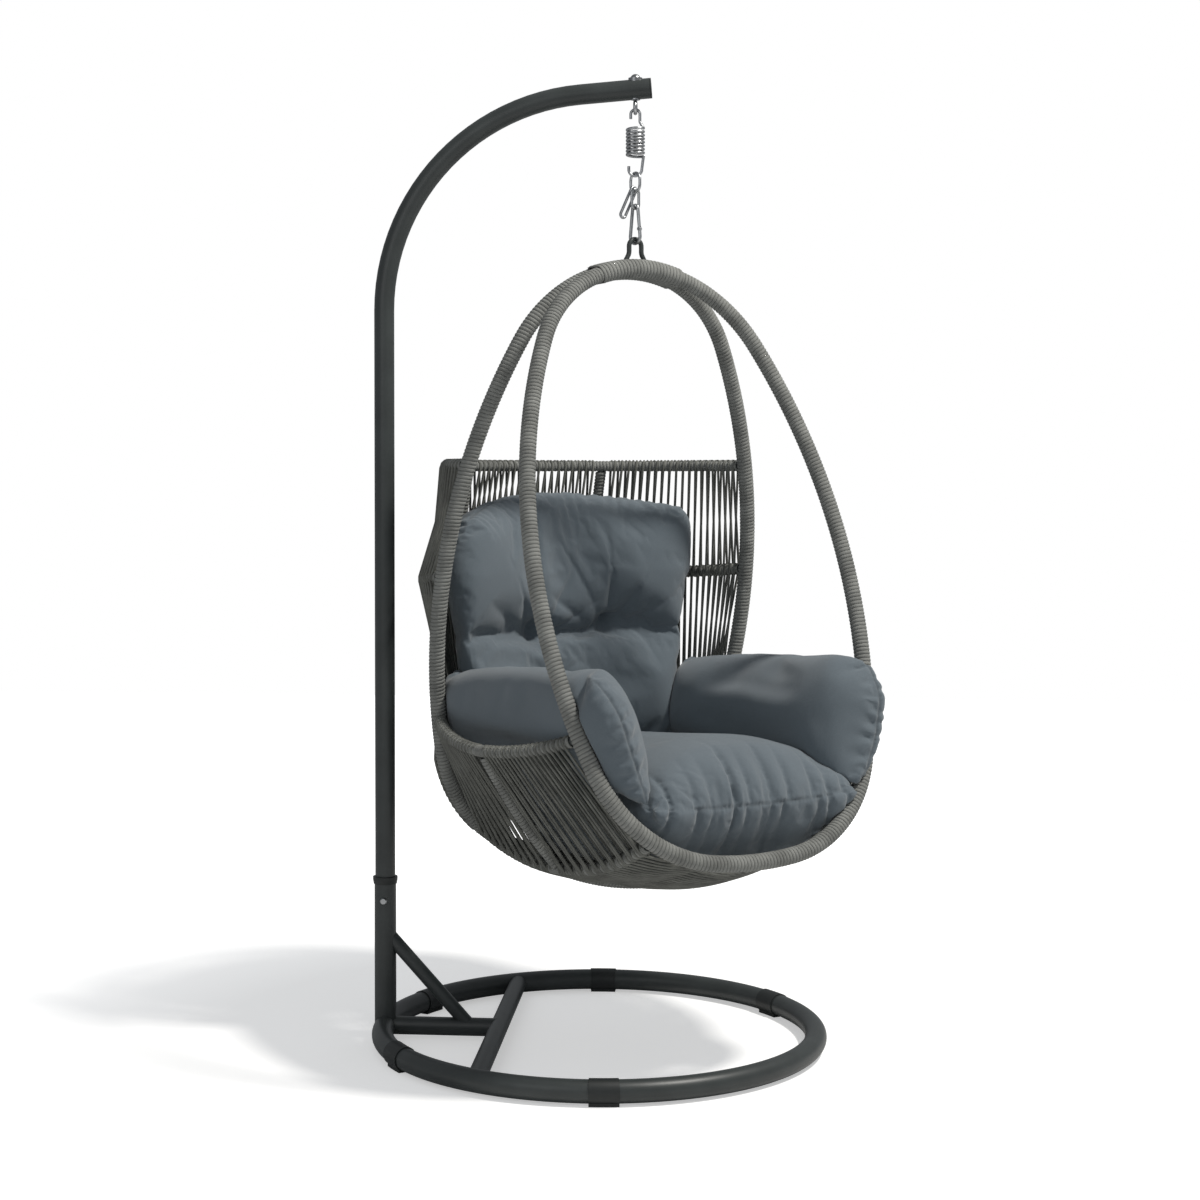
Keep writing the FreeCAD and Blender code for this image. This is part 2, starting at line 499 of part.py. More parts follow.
def snap_hook(top):
    """Pear-shaped snap hook with a sprung gate on its right side; top is the middle of its top wire."""
    half = (HOOK_LENGTH - HOOK_WIRE) / 2
    middle = top - V(0, 0, half)
    high = half - HOOK_TOP_RADIUS
    low = half - HOOK_BOTTOM_RADIUS
    slope = math.asin((HOOK_BOTTOM_RADIUS - HOOK_TOP_RADIUS) / (high + low))
    out = V(math.cos(slope), 0, math.sin(slope))
    out_left = V(-out.x, 0, out.z)
    high_right = V(0, 0, high) + out * HOOK_TOP_RADIUS
    low_right = V(0, 0, -low) + out * HOOK_BOTTOM_RADIUS
    high_left = V(0, 0, high) + out_left * HOOK_TOP_RADIUS
    low_left = V(0, 0, -low) + out_left * HOOK_BOTTOM_RADIUS
    side = (high_right - low_right).normalize()
    pin = low_right + side * ((-GATE_PIN_BELOW_MIDDLE - low_right.z) / side.z)
    tip = pin + side * GATE_LENGTH
    back = V(0, 1, 0)
    wire = [line(high_right, tip), arc(high_right, V(0, 0, half), high_left), line(high_left, low_left),
            arc(low_left, V(0, 0, -half), low_right), line(low_right, pin - side * GATE_KNUCKLE_DIA / 2)]
    body = pipe(wire, HOOK_WIRE)

    def slab(thickness, start, end, across=2 * HOOK_WIRE):
        """Flat block about the gate's line, from start to end along it."""
        box = Part.makeBox(across, thickness, end - start, V(-across / 2, -thickness / 2, start))
        box.Placement = FreeCAD.Placement(pin, FreeCAD.Rotation(V(0, 0, 1), side))
        return box

    reach = GATE_KNUCKLE_DIA / 2
    knuckle = cylinder(pin - back * HOOK_WIRE / 2, back, GATE_KNUCKLE_DIA, HOOK_WIRE)
    tongue = knuckle.common(slab(GATE_TONGUE, -HOOK_WIRE, HOOK_WIRE))
    neck = pipe([line(pin - side * (reach + 2), pin)], HOOK_WIRE)
    neck = neck.common(slab(GATE_TONGUE, -HOOK_WIRE, HOOK_WIRE))
    hole = cylinder(pin - back * HOOK_WIRE, back, GATE_PIN_DIA + 2 * RUNNING_GAP, 2 * HOOK_WIRE)
    lap_outer = slab(2 * HOOK_WIRE, GATE_LENGTH - GATE_LAP, GATE_LENGTH)
    lap_outer.translate(out * HOOK_WIRE)
    nose = pipe([line(tip - side * GATE_LAP, tip)], HOOK_WIRE).common(lap_outer)
    body = body.fuse([tongue, neck, nose]).cut(hole)
    gate = pipe([line(pin, tip - side * SLIP_GAP)], HOOK_WIRE - 2 * RUNNING_GAP).fuse(knuckle)
    lap_cut = slab(2 * HOOK_WIRE, GATE_LENGTH - GATE_LAP - HANG_GAP, GATE_LENGTH + HOOK_WIRE)
    lap_cut.translate(out * (HOOK_WIRE - HANG_GAP))
    slot = slab(GATE_TONGUE + 2 * HANG_GAP, -HOOK_WIRE, reach + HANG_GAP)
    gate = gate.cut([lap_cut, slot, hole])
    pin_solid = cylinder(pin - back * (HOOK_WIRE / 2 + HANG_GAP), back, GATE_PIN_DIA, HOOK_WIRE + 2 * HANG_GAP)
    for name, shape in (("snap_hook_body", body), ("snap_hook_gate", gate), ("gate_pin", pin_solid)):
        shape.rotate(V(0, 0, 0), V(0, 0, 1), HOOK_AZIMUTH)
        shape.translate(middle)
        nodes[name] = solids(shape)
    turn = FreeCAD.Rotation(V(0, 0, 1), HOOK_AZIMUTH)
    return turn.multVec(pin) + middle, turn.multVec(back)


# Basket hoops, each a chain of tangent arcs in its own leaning plane
class Hoop:
    def __init__(self, tilt, arcs, offset):
        lean = math.radians(tilt)
        self.top = V(offset, 0, APEX_HEIGHT)
        self.down = V(math.sin(lean), 0, -math.cos(lean))
        self.cos = math.cos(lean)
        self.arcs = []
        across, drop, heading = 0.0, 0.0, 0.0
        for radius, turn in arcs:
            centre = (across - radius * math.sin(heading), drop + radius * math.cos(heading))
            self.arcs.append((centre, radius, heading, heading + math.radians(turn)))
            heading += math.radians(turn)
            across = centre[0] + radius * math.sin(heading)
            drop = centre[1] - radius * math.cos(heading)
        closing = across / math.sin(heading)
        self.arcs.append(((0.0, drop + closing * math.cos(heading)), closing, heading, math.pi))

    def place(self, across, drop):
        return self.top + V(0, 1, 0) * across + self.down * drop

    def on_arc(self, number, heading, side=1):
        centre, radius, first, last = self.arcs[number]
        across = centre[0] + radius * math.sin(heading)
        return self.place(side * across, centre[1] - radius * math.cos(heading))

    def side_arc(self, number, first, last, side):
        turns = (first, (first + last) / 2, last)
        return arc(*[self.on_arc(number, heading, side) for heading in turns])

    def open_edges(self, start):
        """From start degrees past the top on the left side, down and round to the same place on the right."""
        left = []
        for number, (centre, radius, first, last) in enumerate(self.arcs[:3]):
            left.append((number, max(first, math.radians(start)), last))
        down = [self.side_arc(number, first, last, 1) for number, first, last in left]
        up = [self.side_arc(number, last, first, -1) for number, first, last in reversed(left)]
        first = self.arcs[3][2]
        return down + [arc(self.on_arc(3, first, 1), self.bottom(), self.on_arc(3, first, -1))] + up

    def all_edges(self):
        start = math.radians(WRAP_START_TURN)
        over_the_top = arc(self.on_arc(0, start, -1), self.top, self.on_arc(0, start, 1))
        return [over_the_top] + self.open_edges(WRAP_START_TURN)

    def bottom(self):
        return self.on_arc(3, math.pi)

    def at_height(self, height, side=1):
        drop = (APEX_HEIGHT - height) / self.cos
        for number, (centre, radius, first, last) in enumerate(self.arcs):
            lift = (centre[1] - drop) / radius
            if abs(lift) <= 1 and first - 1e-9 <= math.acos(lift) <= last + 1e-9:
                return self.on_arc(number, math.acos(lift), side)
        raise ValueError("height outside the hoop")


class Arch:
    """Back bar of the basket: one wide arc in the middle and a tighter or wider one to each end."""

    def __init__(self, end, bulge, sag, turn):
        self.middle = V(end.x - bulge, 0, end.z - sag)
        self.inward = V(end.x, 0, end.z) - self.middle
        self.depth = self.inward.Length
        self.inward.normalize()
        self.turn = math.radians(turn)
        sine, cosine = math.sin(self.turn), math.cos(self.turn)
        share = sine * cosine - (1 - sine) * (1 - cosine)
        self.wide = (end.y * cosine - self.depth * (1 - sine)) / share
        self.tight = (self.depth * sine - end.y * (1 - cosine)) / share

    def at_turn(self, angle, side=1):
        near = min(angle, self.turn)
        rest = max(angle, self.turn)
        across = self.wide * math.sin(near) + self.tight * (math.sin(rest) - math.sin(self.turn))
        drop = self.wide * (1 - math.cos(near)) + self.tight * (math.cos(self.turn) - math.cos(rest))
        return self.middle + V(0, 1, 0) * side * across + self.inward * drop

    def at_offset(self, across):
        return self.at_turn(math.asin(abs(across) / self.wide), math.copysign(1, across))

    def edges(self):
        half = (self.turn + math.pi / 2) / 2
        end = math.pi / 2
        right = arc(self.at_turn(end, -1), self.at_turn(half, -1), self.at_turn(self.turn, -1))
        middle = arc(self.at_turn(self.turn, -1), self.middle, self.at_turn(self.turn, 1))
        left = arc(self.at_turn(self.turn, 1), self.at_turn(half, 1), self.at_turn(end, 1))
        return [right, middle, left]


def flip(point):
    return V(point.x, -point.y, point.z)


front = Hoop(FRONT_TILT, FRONT_ARCS, HOOP_SPREAD / 2)
rear = Hoop(REAR_TILT, REAR_ARCS, -HOOP_SPREAD / 2)
upper_back = Arch(rear.at_height(UPPER_BACK_HEIGHT), UPPER_BACK_BULGE, 0.0, BACK_BAR_BREAK)
lower_back = Arch(rear.at_height(LOWER_BACK_HEIGHT), LOWER_BACK_BULGE, LOWER_BACK_SAG, BACK_BAR_BREAK)
arm_middle = V(*ARM_MIDDLE)
rail_middle = V(*RAIL_MIDDLE)
keel_middle = V(*KEEL_MIDDLE)


def rear_rail_edge():
    end = rear.at_height(REAR_RAIL_HEIGHT)
    middle = V(end.x - REAR_RAIL_BULGE, 0, end.z - REAR_RAIL_SAG)
    return arc(flip(end), middle, end)


def point_across(edge, across):
    """Point of a bar at a distance from the middle plane."""
    first, last = edge.FirstParameter, edge.LastParameter
    for step in range(40):
        half = (first + last) / 2
        if edge.valueAt(half).y < across:
            first = half
        else:
            last = half
    return edge.valueAt(first)


def rib_edge(side):
    rail = rear_rail_edge()
    return arc(upper_back.at_offset(side * RIB_OFFSET), lower_back.at_offset(side * RIB_OFFSET),
               point_across(rail, side * RIB_FOOT_OFFSET))


def left_bars():
    """Bars of the left side; the right side mirrors them."""
    arm = arc(rear.at_height(ARM_REAR_HEIGHT), arm_middle, front.at_height(ARM_FRONT_HEIGHT))
    rail = arc(rear.at_height(REAR_RAIL_HEIGHT), rail_middle, front.at_height(RAIL_FRONT_HEIGHT))
    under, heading = tangent_arc(keel_middle, V(0, 1, 0), rail_middle)
    side, heading = tangent_arc(rail_middle, heading, arm_middle)
    return arm, rail, under, side


def flip_edge(edge):
    half = (edge.FirstParameter + edge.LastParameter) / 2
    points = [edge.valueAt(place) for place in (edge.FirstParameter, half, edge.LastParameter)]
    return arc(*[flip(point) for point in points])


class Bar:
    """Wrapped bar: its centre line, and what its tube and its rope wrap stop at."""

    def __init__(self, node, wrap_node, edges, hoops=(), bars=()):
        self.node = node
        self.wrap_node = wrap_node
        self.edges = edges
        self.hoops = hoops
        self.bars = bars
        self.core = pipe(edges, BAR_TUBE + 2 * WELD_GAP)
        self.fat = pipe(edges, WRAPPED_BAR + 2 * WRAP_GAP)


def basket_frame():
    hoops = {"front": front, "rear": rear}
    cores = {}
    fats = {}
    for name, hoop in hoops.items():
        nodes[name + "_hoop_tube"] = solids(pipe(hoop.all_edges(), HOOP_TUBE, HOOP_TUBE - 2 * HOOP_WALL))
        cores[name] = pipe(hoop.all_edges(), HOOP_TUBE + 2 * WELD_GAP)
        fats[name] = pipe(hoop.open_edges(WRAP_START_TURN), WRAPPED_HOOP + 2 * WRAP_GAP)
    arm, rail, under, side = left_bars()
    keel = arc(rear.bottom(), keel_middle, front.bottom())
    rear_rail = Bar("seat_rear_rail", "seat_rear_rail_wrap", [rear_rail_edge()], ("rear",))
    upper = Bar("back_bar_upper", "back_bar_upper_wrap", upper_back.edges(), ("rear",))
    lower = Bar("back_bar_lower", "back_bar_lower_wrap", lower_back.edges(), ("rear",))
    both = ("front", "rear")
    arms = [Bar("left_arm_rim", "left_arm_rim_wrap", [arm], both),
            Bar("right_arm_rim", "right_arm_rim_wrap", [flip_edge(arm)], both)]
    rails = [Bar("seat_side_rails", "seat_side_rail_wraps", [rail], both),
             Bar("seat_side_rails", "seat_side_rail_wraps", [flip_edge(rail)], both)]
    keel_bar = Bar("keel_bar", "keel_bar_wrap", [keel], both)
    ribs = [Bar("back_ribs", "back_rib_wraps", [rib_edge(1)], (), (upper, lower, rear_rail)),
            Bar("back_ribs", "back_rib_wraps", [rib_edge(-1)], (), (upper, lower, rear_rail))]
    cross = []
    for index, flipped in enumerate((False, True)):
        ends = (arms[index], rails[index], keel_bar)
        for edge in (under, side):
            line_edge = flip_edge(edge) if flipped else edge
            cross.append(Bar("cross_rib", "cross_rib_wrap", [line_edge], (), ends))
    bars = [rear_rail, upper, lower] + arms + rails + [keel_bar] + ribs + cross

    tubes = {}
    wraps = {}
    for bar in bars:
        tube = pipe(bar.edges, BAR_TUBE, BAR_TUBE - 2 * BAR_WALL)
        wrap = pipe(bar.edges, WRAPPED_BAR, BAR_TUBE + 2 * WRAP_GAP)
        tube = tube.cut([cores[name] for name in bar.hoops] + [other.core for other in bar.bars])
        stops = [fats[name] for name in bar.hoops] + [other.fat for other in bar.bars]
        guests = [other.core for other in bars if bar in other.bars]
        tubes.setdefault(bar.node, []).extend(tube.Solids)
        wraps.setdefault(bar.wrap_node, []).extend(wrap.cut(stops + guests).Solids)
    for store in (tubes, wraps):
        for name, pieces in store.items():
            nodes[name] = pieces[0] if len(pieces) == 1 else Part.makeCompound(pieces)
    for name, hoop in hoops.items():
        wrap = pipe(hoop.open_edges(WRAP_START_TURN), WRAPPED_HOOP, HOOP_TUBE + 2 * WRAP_GAP)
        guests = [bar.core for bar in bars if name in bar.hoops]
        nodes[name + "_hoop_wrap"] = solids(wrap.cut(guests))
    hanger(cores)


def stadium(width, height):
    """Flat ring of two half circles and two straight sides, upright across the top of the hoops."""
    radius = height / 2
    reach = width / 2 - radius
    above = APEX_HEIGHT + radius
    below = APEX_HEIGHT - radius
    edges = [line(V(-reach, 0, above), V(reach, 0, above)),
             arc(V(reach, 0, above), V(width / 2, 0, APEX_HEIGHT), V(reach, 0, below)),
             line(V(reach, 0, below), V(-reach, 0, below)),
             arc(V(-reach, 0, below), V(-width / 2, 0, APEX_HEIGHT), V(-reach, 0, above))]
    return Part.Face(Part.Wire(edges))


def hanger(cores):
    axis_point = V(0, 0, APEX_HEIGHT - TOP_WRAP_RADIUS)
    inner_height = HOOP_TUBE + 4 * WRAP_GAP
    inner_width = TOP_WRAP_WIDTH - 2 * ROPE - 2 * WRAP_GAP
    ring = stadium(TOP_WRAP_WIDTH, TOP_WRAP_HEIGHT).cut(stadium(inner_width, inner_height))
    ring.rotate(axis_point, V(1, 0, 0), -TOP_WRAP_HALF_TURN)
    wrap = ring.revolve(axis_point, V(1, 0, 0), 2 * TOP_WRAP_HALF_TURN)
    bend = loop_top - V(0, 0, LOOP_RADIUS)
    knee = bend + V(0, LOOP_RADIUS, -LOOP_LEG)
    turn = math.radians(LOOP_FLARE_TURN)

    def flare(part):
        angle = turn * part
        return knee + V(0, LOOP_FLARE_RADIUS * (1 - math.cos(angle)), -LOOP_FLARE_RADIUS * math.sin(angle))

    foot = flare(1)
    slant = V(0, math.sin(turn), -math.cos(turn))
    landing = foot + slant * ((foot.z - APEX_HEIGHT) / math.cos(turn))
    shoulder = bend + V(0, LOOP_RADIUS, 0)
    rod = [arc(shoulder, loop_top, flip(shoulder))]
    for leg in ((shoulder, knee, flare(0.5), foot, landing),
                (flip(shoulder), flip(knee), flip(flare(0.5)), flip(foot), flip(landing))):
        rod += [line(leg[0], leg[1]), arc(leg[1], leg[2], leg[3]), line(leg[3], leg[4])]
    loop = pipe(rod, LOOP_ROD)
    loop_fat = pipe(rod, LOOP_ROD + 2 * WRAP_GAP)
    cut = loop.cut([cores["front"], cores["rear"]])
    nodes["hanger_loop"] = max(cut.Solids, key=lambda solid: solid.Volume)
    wrap = wrap.cut([cores["front"], cores["rear"], loop_fat])
    nodes["top_wrap"] = max(wrap.Solids, key=lambda solid: solid.Volume)


# Cord panels, each as the thin skins that its cords lie in, one skin between each two bars or hoops
class Track:
    """Points along a chain of edges, found by their distance from its start."""

    def __init__(self, edges, setback=0.0):
        self.points = Part.Wire(edges).discretize(Number=TRACK_POINTS)
        self.step = sum(edge.Length for edge in edges) / (TRACK_POINTS - 1)
        self.length = self.step * (TRACK_POINTS - 1)
        self.setback = setback

    def at(self, distance):
        place = min(max(distance / self.step, 0), TRACK_POINTS - 1.001)
        before = int(place)
        return self.points[before] + (self.points[before + 1] - self.points[before]) * (place - before)

    def nearest(self, miss):
        return self.step * min(range(TRACK_POINTS), key=lambda index: miss(self.points[index]))

    def distance_to(self, across):
        return self.nearest(lambda point: abs(point.y - across))

    def middle_distance(self):
        return self.nearest(lambda point: abs(point.x - RAIL_MIDDLE[0]))


def skin(tracks, spans):
    """Thin ruled skins across neighbouring tracks, each track over its own span of distances."""
    rows = []
    for track, (first, last) in zip(tracks, spans):
        rows.append([track.at(first + (last - first) * n / (SKIN_STATIONS - 1)) for n in range(SKIN_STATIONS)])
    outlines = [[] for track in tracks[1:]]
    for index in range(SKIN_STATIONS):
        points = [row[index] for row in rows]
        ahead = rows[0][min(index + 1, SKIN_STATIONS - 1)] - rows[0][max(index - 1, 0)]
        across = (points[-1] - points[0]).normalize()
        normal = ahead.cross(across).normalize() * (PANEL_THICKNESS / 2)
        points[0] = points[0] + across * tracks[0].setback
        points[-1] = points[-1] - across * tracks[-1].setback
        for outline, upper, lower in zip(outlines, points, points[1:]):
            corners = [upper + normal, lower + normal, lower - normal, upper - normal]
            outline.append(Part.makePolygon(corners + corners[:1]))
    return [Part.makeLoft(outline, True, True) for outline in outlines]


def cord_panels():
    clear_bar = WRAPPED_BAR / 2 + PANEL_THICKNESS
    clear_hoop = WRAPPED_HOOP / 2 + 2 * PANEL_THICKNESS
    setback = WRAPPED_BAR / 2 + PANEL_SETBACK
    upper = Track(upper_back.edges(), setback)
    lower = Track(lower_back.edges(), setback)
    seat = Track([rear_rail_edge()], setback)
    offsets = {upper: RIB_OFFSET, lower: RIB_OFFSET, seat: RIB_FOOT_OFFSET}

    def back_spans(track):
        right = track.distance_to(-offsets[track])
        left = track.distance_to(offsets[track])
        return ((clear_hoop, right - clear_bar), (right + clear_bar, left - clear_bar),
                (left + clear_bar, track.length - clear_hoop))

    for name, tracks in (("back_cords_upper", (upper, lower)), ("back_cords_lower", (lower, seat))):
        spans = zip(*[back_spans(track) for track in tracks])
        nodes[name] = Part.makeCompound([skin(tracks, span)[0] for span in spans])

    arm, rail, under, side = left_bars()
    keel = arc(rear.bottom(), keel_middle, front.bottom())
    side_middle = side.valueAt((side.FirstParameter + side.LastParameter) / 2)
    belt = arc(rear.at_height((ARM_REAR_HEIGHT + REAR_RAIL_HEIGHT) / 2), side_middle,
               front.at_height((ARM_FRONT_HEIGHT + RAIL_FRONT_HEIGHT) / 2))
    arm_track = Track([arm], setback)
    belt_track = Track([belt])
    rail_track = Track([rail], setback)
    keel_track = Track([keel], setback)

    def side_spans(track):
        rib = track.middle_distance()
        return (clear_hoop, rib - clear_bar), (rib + clear_bar, track.length - clear_hoop)

    for tracks, names in (((arm_track, belt_track, rail_track), ("left_side_cords", "right_side_cords")),
                          ((rail_track, keel_track), ("bottom_cords", "bottom_cords"))):
        left = [piece for span in zip(*[side_spans(track) for track in tracks]) for piece in skin(tracks, span)]
        right = [mirrored(piece) for piece in left]
        if names[0] == names[1]:
            nodes[names[0]] = Part.makeCompound(left + right)
        else:
            nodes[names[0]] = Part.makeCompound(left)
            nodes[names[1]] = Part.makeCompound(right)


# Cushions as plain closed bodies
def upright_outline(x, points):
    """Closed outline across the basket from its left half, listed from the middle below to the middle above."""
    left = [V(x, across, height) for across, height in points]
    right = [flip(point) for point in reversed(left)]
    return Part.makePolygon(left + right + left[:1])


def seat_cushion():
    rest = front.bottom().z + WRAPPED_HOOP / 2 + CUSHION_GAP
    rear_rest = REAR_RAIL_HEIGHT + WRAPPED_BAR / 2 + CUSHION_GAP
    inside_hoop = front.at_height(rest + 100).x - WRAPPED_HOOP
    shoulder = (SEAT_SHOULDER, SEAT_TOP + SEAT_CROWN)
    front_shoulder = (SEAT_SHOULDER, SEAT_TOP + SEAT_DOME_FRONT / 2)
    share = (SEAT_DOME_START - SEAT_REAR) / (RAIL_MIDDLE[0] - SEAT_REAR)
    start_rest = rear_rest + (rest - rear_rest) * share
    start_outline = [(a + (c - a) * share, b + (d - b) * share)
                     for (a, b), (c, d) in zip(SEAT_REAR_OUTLINE, SEAT_MIDDLE_OUTLINE)]
    start_width = SEAT_REAR_TOP[0] + (SEAT_MIDDLE_TOP[0] - SEAT_REAR_TOP[0]) * share
    start_top = (start_width, SEAT_TOP + SEAT_CROWN)
    sections = []
    for x, base, outline, tops, dome in (
            (SEAT_REAR, rear_rest, SEAT_REAR_OUTLINE, (SEAT_REAR_TOP, shoulder), SEAT_CROWN),
            (SEAT_DOME_START, start_rest, start_outline, (start_top, shoulder), SEAT_CROWN),
            (RAIL_MIDDLE[0], rest, SEAT_MIDDLE_OUTLINE, (SEAT_MIDDLE_TOP, shoulder), SEAT_DOME),
            (inside_hoop, rest, SEAT_FRONT_OUTLINE, (SEAT_HOOP_TOP, shoulder), SEAT_DOME),
            (SEAT_FRONT, rest, SEAT_FRONT_OUTLINE, (SEAT_FRONT_TOP, front_shoulder), SEAT_DOME_FRONT)):
        points = [(across, base + lift) for across, lift in outline] + list(tops)
        sections.append(upright_outline(x, points + [(SEAT_DOME_WIDTH, SEAT_TOP + dome)]))
    nodes["seat_cushion"] = Part.makeLoft(sections, True, True)


def back_cushion():
    outlines = []
    for height, face, half_width, wrap in BACK_LEVELS:
        inner_end = V(face + wrap, half_width, height)
        outer_end = V(face + wrap - BACK_THICKNESS * 0.5, half_width + BACK_THICKNESS * 0.25, height)
        inner = arc(flip(inner_end), V(face, 0, height), inner_end)
        outer = arc(outer_end, V(face - BACK_THICKNESS, 0, height), flip(outer_end))
        ends = (line(inner_end, outer_end), line(flip(outer_end), flip(inner_end)))
        outlines.append(Part.Wire([inner, ends[0], outer, ends[1]]))
    nodes["back_cushion"] = Part.makeLoft(outlines, True, True)


def arm_bolsters():
    outlines = []
    for x, points in ((BOLSTER_REAR, BOLSTER_REAR_OUTLINE), (RAIL_MIDDLE[0], BOLSTER_OUTLINE),
                      (BOLSTER_FRONT, BOLSTER_OUTLINE)):
        corners = [V(x, across, height) for across, height in points]
        outlines.append(Part.makePolygon(corners + corners[:1]))
    nodes["left_arm_bolster"] = Part.makeLoft(outlines, True, True)
    nodes["right_arm_bolster"] = mirrored(nodes["left_arm_bolster"])


base_ring()
socket_core = base_bars()
hang = pole_and_socket_parts(socket_core)
anchors = hanging_gear(hang)
loop_top = V(0, 0, anchors["loop_top"].z)
stand_nodes = set(nodes)
basket_frame()
cord_panels()
seat_cushion()
back_cushion()
arm_bolsters()
for name in nodes:
    if name not in stand_nodes:
        nodes[name].rotate(V(0, 0, 0), V(0, 0, 1), BASKET_TURN)
        nodes[name].translate(V(HANG_FROM_CENTRE, 0, 0))

# The origin goes to the middle of the whole object's footprint, on the floor
box = Part.makeCompound(list(nodes.values())).optimalBoundingBox(False)
shift = V(-(box.XMin + box.XMax) / 2, -(box.YMin + box.YMax) / 2, -box.ZMin)
for name, shape in nodes.items():
    shape.translate(shift)
    shape.exportStep("parts/" + name + ".step")
print("size", box.XLength, box.YLength, box.ZLength, "shift", shift)
for name, point in anchors.items():
    print(name, point if name.endswith("axis") else point + shift)
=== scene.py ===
# %% [markdown]
# # A hanging egg chair, dressed for a picture
# The chair is a basket of two steel hoops, wound with flat rope and laced with cords, that hangs from a bent
# pole by a spring, two chain links and a snap hook. Four loose cushions fill the basket. The hard parts come
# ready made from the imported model. What is added here is what cloth and rope look like: every turn of rope,
# every laced cord, and cushions with seams, puckers and folds.

# %% Load the fixed frame
import json
import math
import bpy
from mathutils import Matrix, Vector, noise
from mathutils.bvhtree import BVHTree
from mathutils.kdtree import KDTree


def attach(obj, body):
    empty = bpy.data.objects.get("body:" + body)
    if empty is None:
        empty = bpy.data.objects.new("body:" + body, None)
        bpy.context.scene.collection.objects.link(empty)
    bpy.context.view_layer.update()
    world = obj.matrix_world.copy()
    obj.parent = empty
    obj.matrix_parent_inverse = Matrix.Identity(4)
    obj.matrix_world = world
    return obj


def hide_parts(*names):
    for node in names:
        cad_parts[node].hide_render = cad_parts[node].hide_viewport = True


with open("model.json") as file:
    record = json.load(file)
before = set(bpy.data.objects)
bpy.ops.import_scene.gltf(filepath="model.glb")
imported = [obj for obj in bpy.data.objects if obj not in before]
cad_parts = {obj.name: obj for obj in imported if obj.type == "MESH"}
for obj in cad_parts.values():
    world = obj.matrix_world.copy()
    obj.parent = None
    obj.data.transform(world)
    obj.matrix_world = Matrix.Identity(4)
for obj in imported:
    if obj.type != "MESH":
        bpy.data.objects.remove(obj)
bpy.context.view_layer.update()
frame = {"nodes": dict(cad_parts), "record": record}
nodes = frame["nodes"]

# %% [markdown]
# ## The lines that the rope follows
# Rope is wound round bars, so each winding needs the middle line of its bar. The bars are arcs, given here in
# the basket's own directions, in millimetres: X forward out of the seat, Y to the left of who sits in it, Z up.
# `place` turns such a point into the model's frame, in metres. The basket hangs turned by 54 degrees.

# %% Basket directions
HANG = Vector((0.0312436, 0.0064146, 0.0))
BASKET_TURN = math.radians(-54.18)
FORWARD = Vector((math.cos(BASKET_TURN), math.sin(BASKET_TURN), 0.0))
LEFTWARD = Vector((-math.sin(BASKET_TURN), math.cos(BASKET_TURN), 0.0))
UP = Vector((0.0, 0.0, 1.0))
MILLI = 0.001


def place(point):
    """A point of the basket, in millimetres, as a point of the model, in metres."""
    return HANG + (FORWARD * point[0] + LEFTWARD * point[1] + UP * point[2]) * MILLI


def unplace(spot):
    """A point of the model, in metres, in the basket's own directions, in millimetres."""
    reach = (spot - HANG) / MILLI
    return Vector((reach.dot(FORWARD), reach.dot(LEFTWARD), reach.dot(UP)))


def flip(points):
    """The same line on the other side of the basket."""
    return [Vector((p.x, -p.y, p.z)) for p in points]


# %% Arcs
LINE_STEP = 4.0


def bend(first, middle, last):
    """Points along the circular arc through three points."""
    a, b, c = Vector(first), Vector(middle), Vector(last)
    u, v = b - a, c - a
    axis = u.cross(v)
    inward = v.length_squared * axis.cross(u) + u.length_squared * v.cross(axis)
    centre = a + inward / (2 * axis.length_squared)
    axis.normalize()
    arm = a - centre
    side = axis.cross(arm)
    reach = c - centre
    turn = math.atan2(reach.dot(side), reach.dot(arm)) % (2 * math.pi)
    count = max(8, round(turn * arm.length / LINE_STEP))
    angles = [turn * n / count for n in range(count + 1)]
    return [centre + arm * math.cos(angle) + side * math.sin(angle) for angle in angles]


def sweep(first, heading, last):
    """Arc that leaves a point along a heading and ends at another point."""
    a, b = Vector(first), Vector(last)
    chord = b - a
    along = chord.normalized()
    unit = Vector(heading).normalized()
    lean = unit.angle(along)
    side = (unit - along * unit.dot(along)).normalized()
    middle = a + chord * 0.5 + side * (chord.length / 2 * math.tan(lean / 2))
    return bend(a, middle, b)


# %% Hoops
APEX = 1615.0
HOOPS = {"front": (19.4, ((285.2, 64.4), (1214.0, 42.5), (278.4, 66.2)), 12.6),
         "rear": (-10.8, ((279.3, 63.3), (1248.4, 41.1), (322.7, 71.5)), -12.6)}


def hoop_half(name):
    """Left half of a hoop, from its top to its bottom, with the turn in degrees at each point."""
    tilt, arcs, offset = HOOPS[name]
    lean = math.radians(tilt)
    across, drop, heading = 0.0, 0.0, 0.0
    found = []

    def add(centre, radius, first, last):
        count = max(4, round(abs(last - first) * radius / LINE_STEP))
        for n in range(count):
            turn = first + (last - first) * n / count
            side = centre[0] + radius * math.sin(turn)
            down = centre[1] - radius * math.cos(turn)
            point = Vector((offset + math.sin(lean) * down, side, APEX - math.cos(lean) * down))
            found.append((math.degrees(turn), point))

    for radius, degrees in arcs:
        centre = (across - radius * math.sin(heading), drop + radius * math.cos(heading))
        add(centre, radius, heading, heading + math.radians(degrees))
        heading += math.radians(degrees)
        across = centre[0] + radius * math.sin(heading)
        drop = centre[1] - radius * math.cos(heading)
    closing = across / math.sin(heading)
    add((0.0, drop + closing * math.cos(heading)), closing, heading, math.pi)
    lowest = drop + closing * (math.cos(heading) + 1)
    found.append((180.0, Vector((offset + math.sin(lean) * lowest, 0.0, APEX - math.cos(lean) * lowest))))
    return found


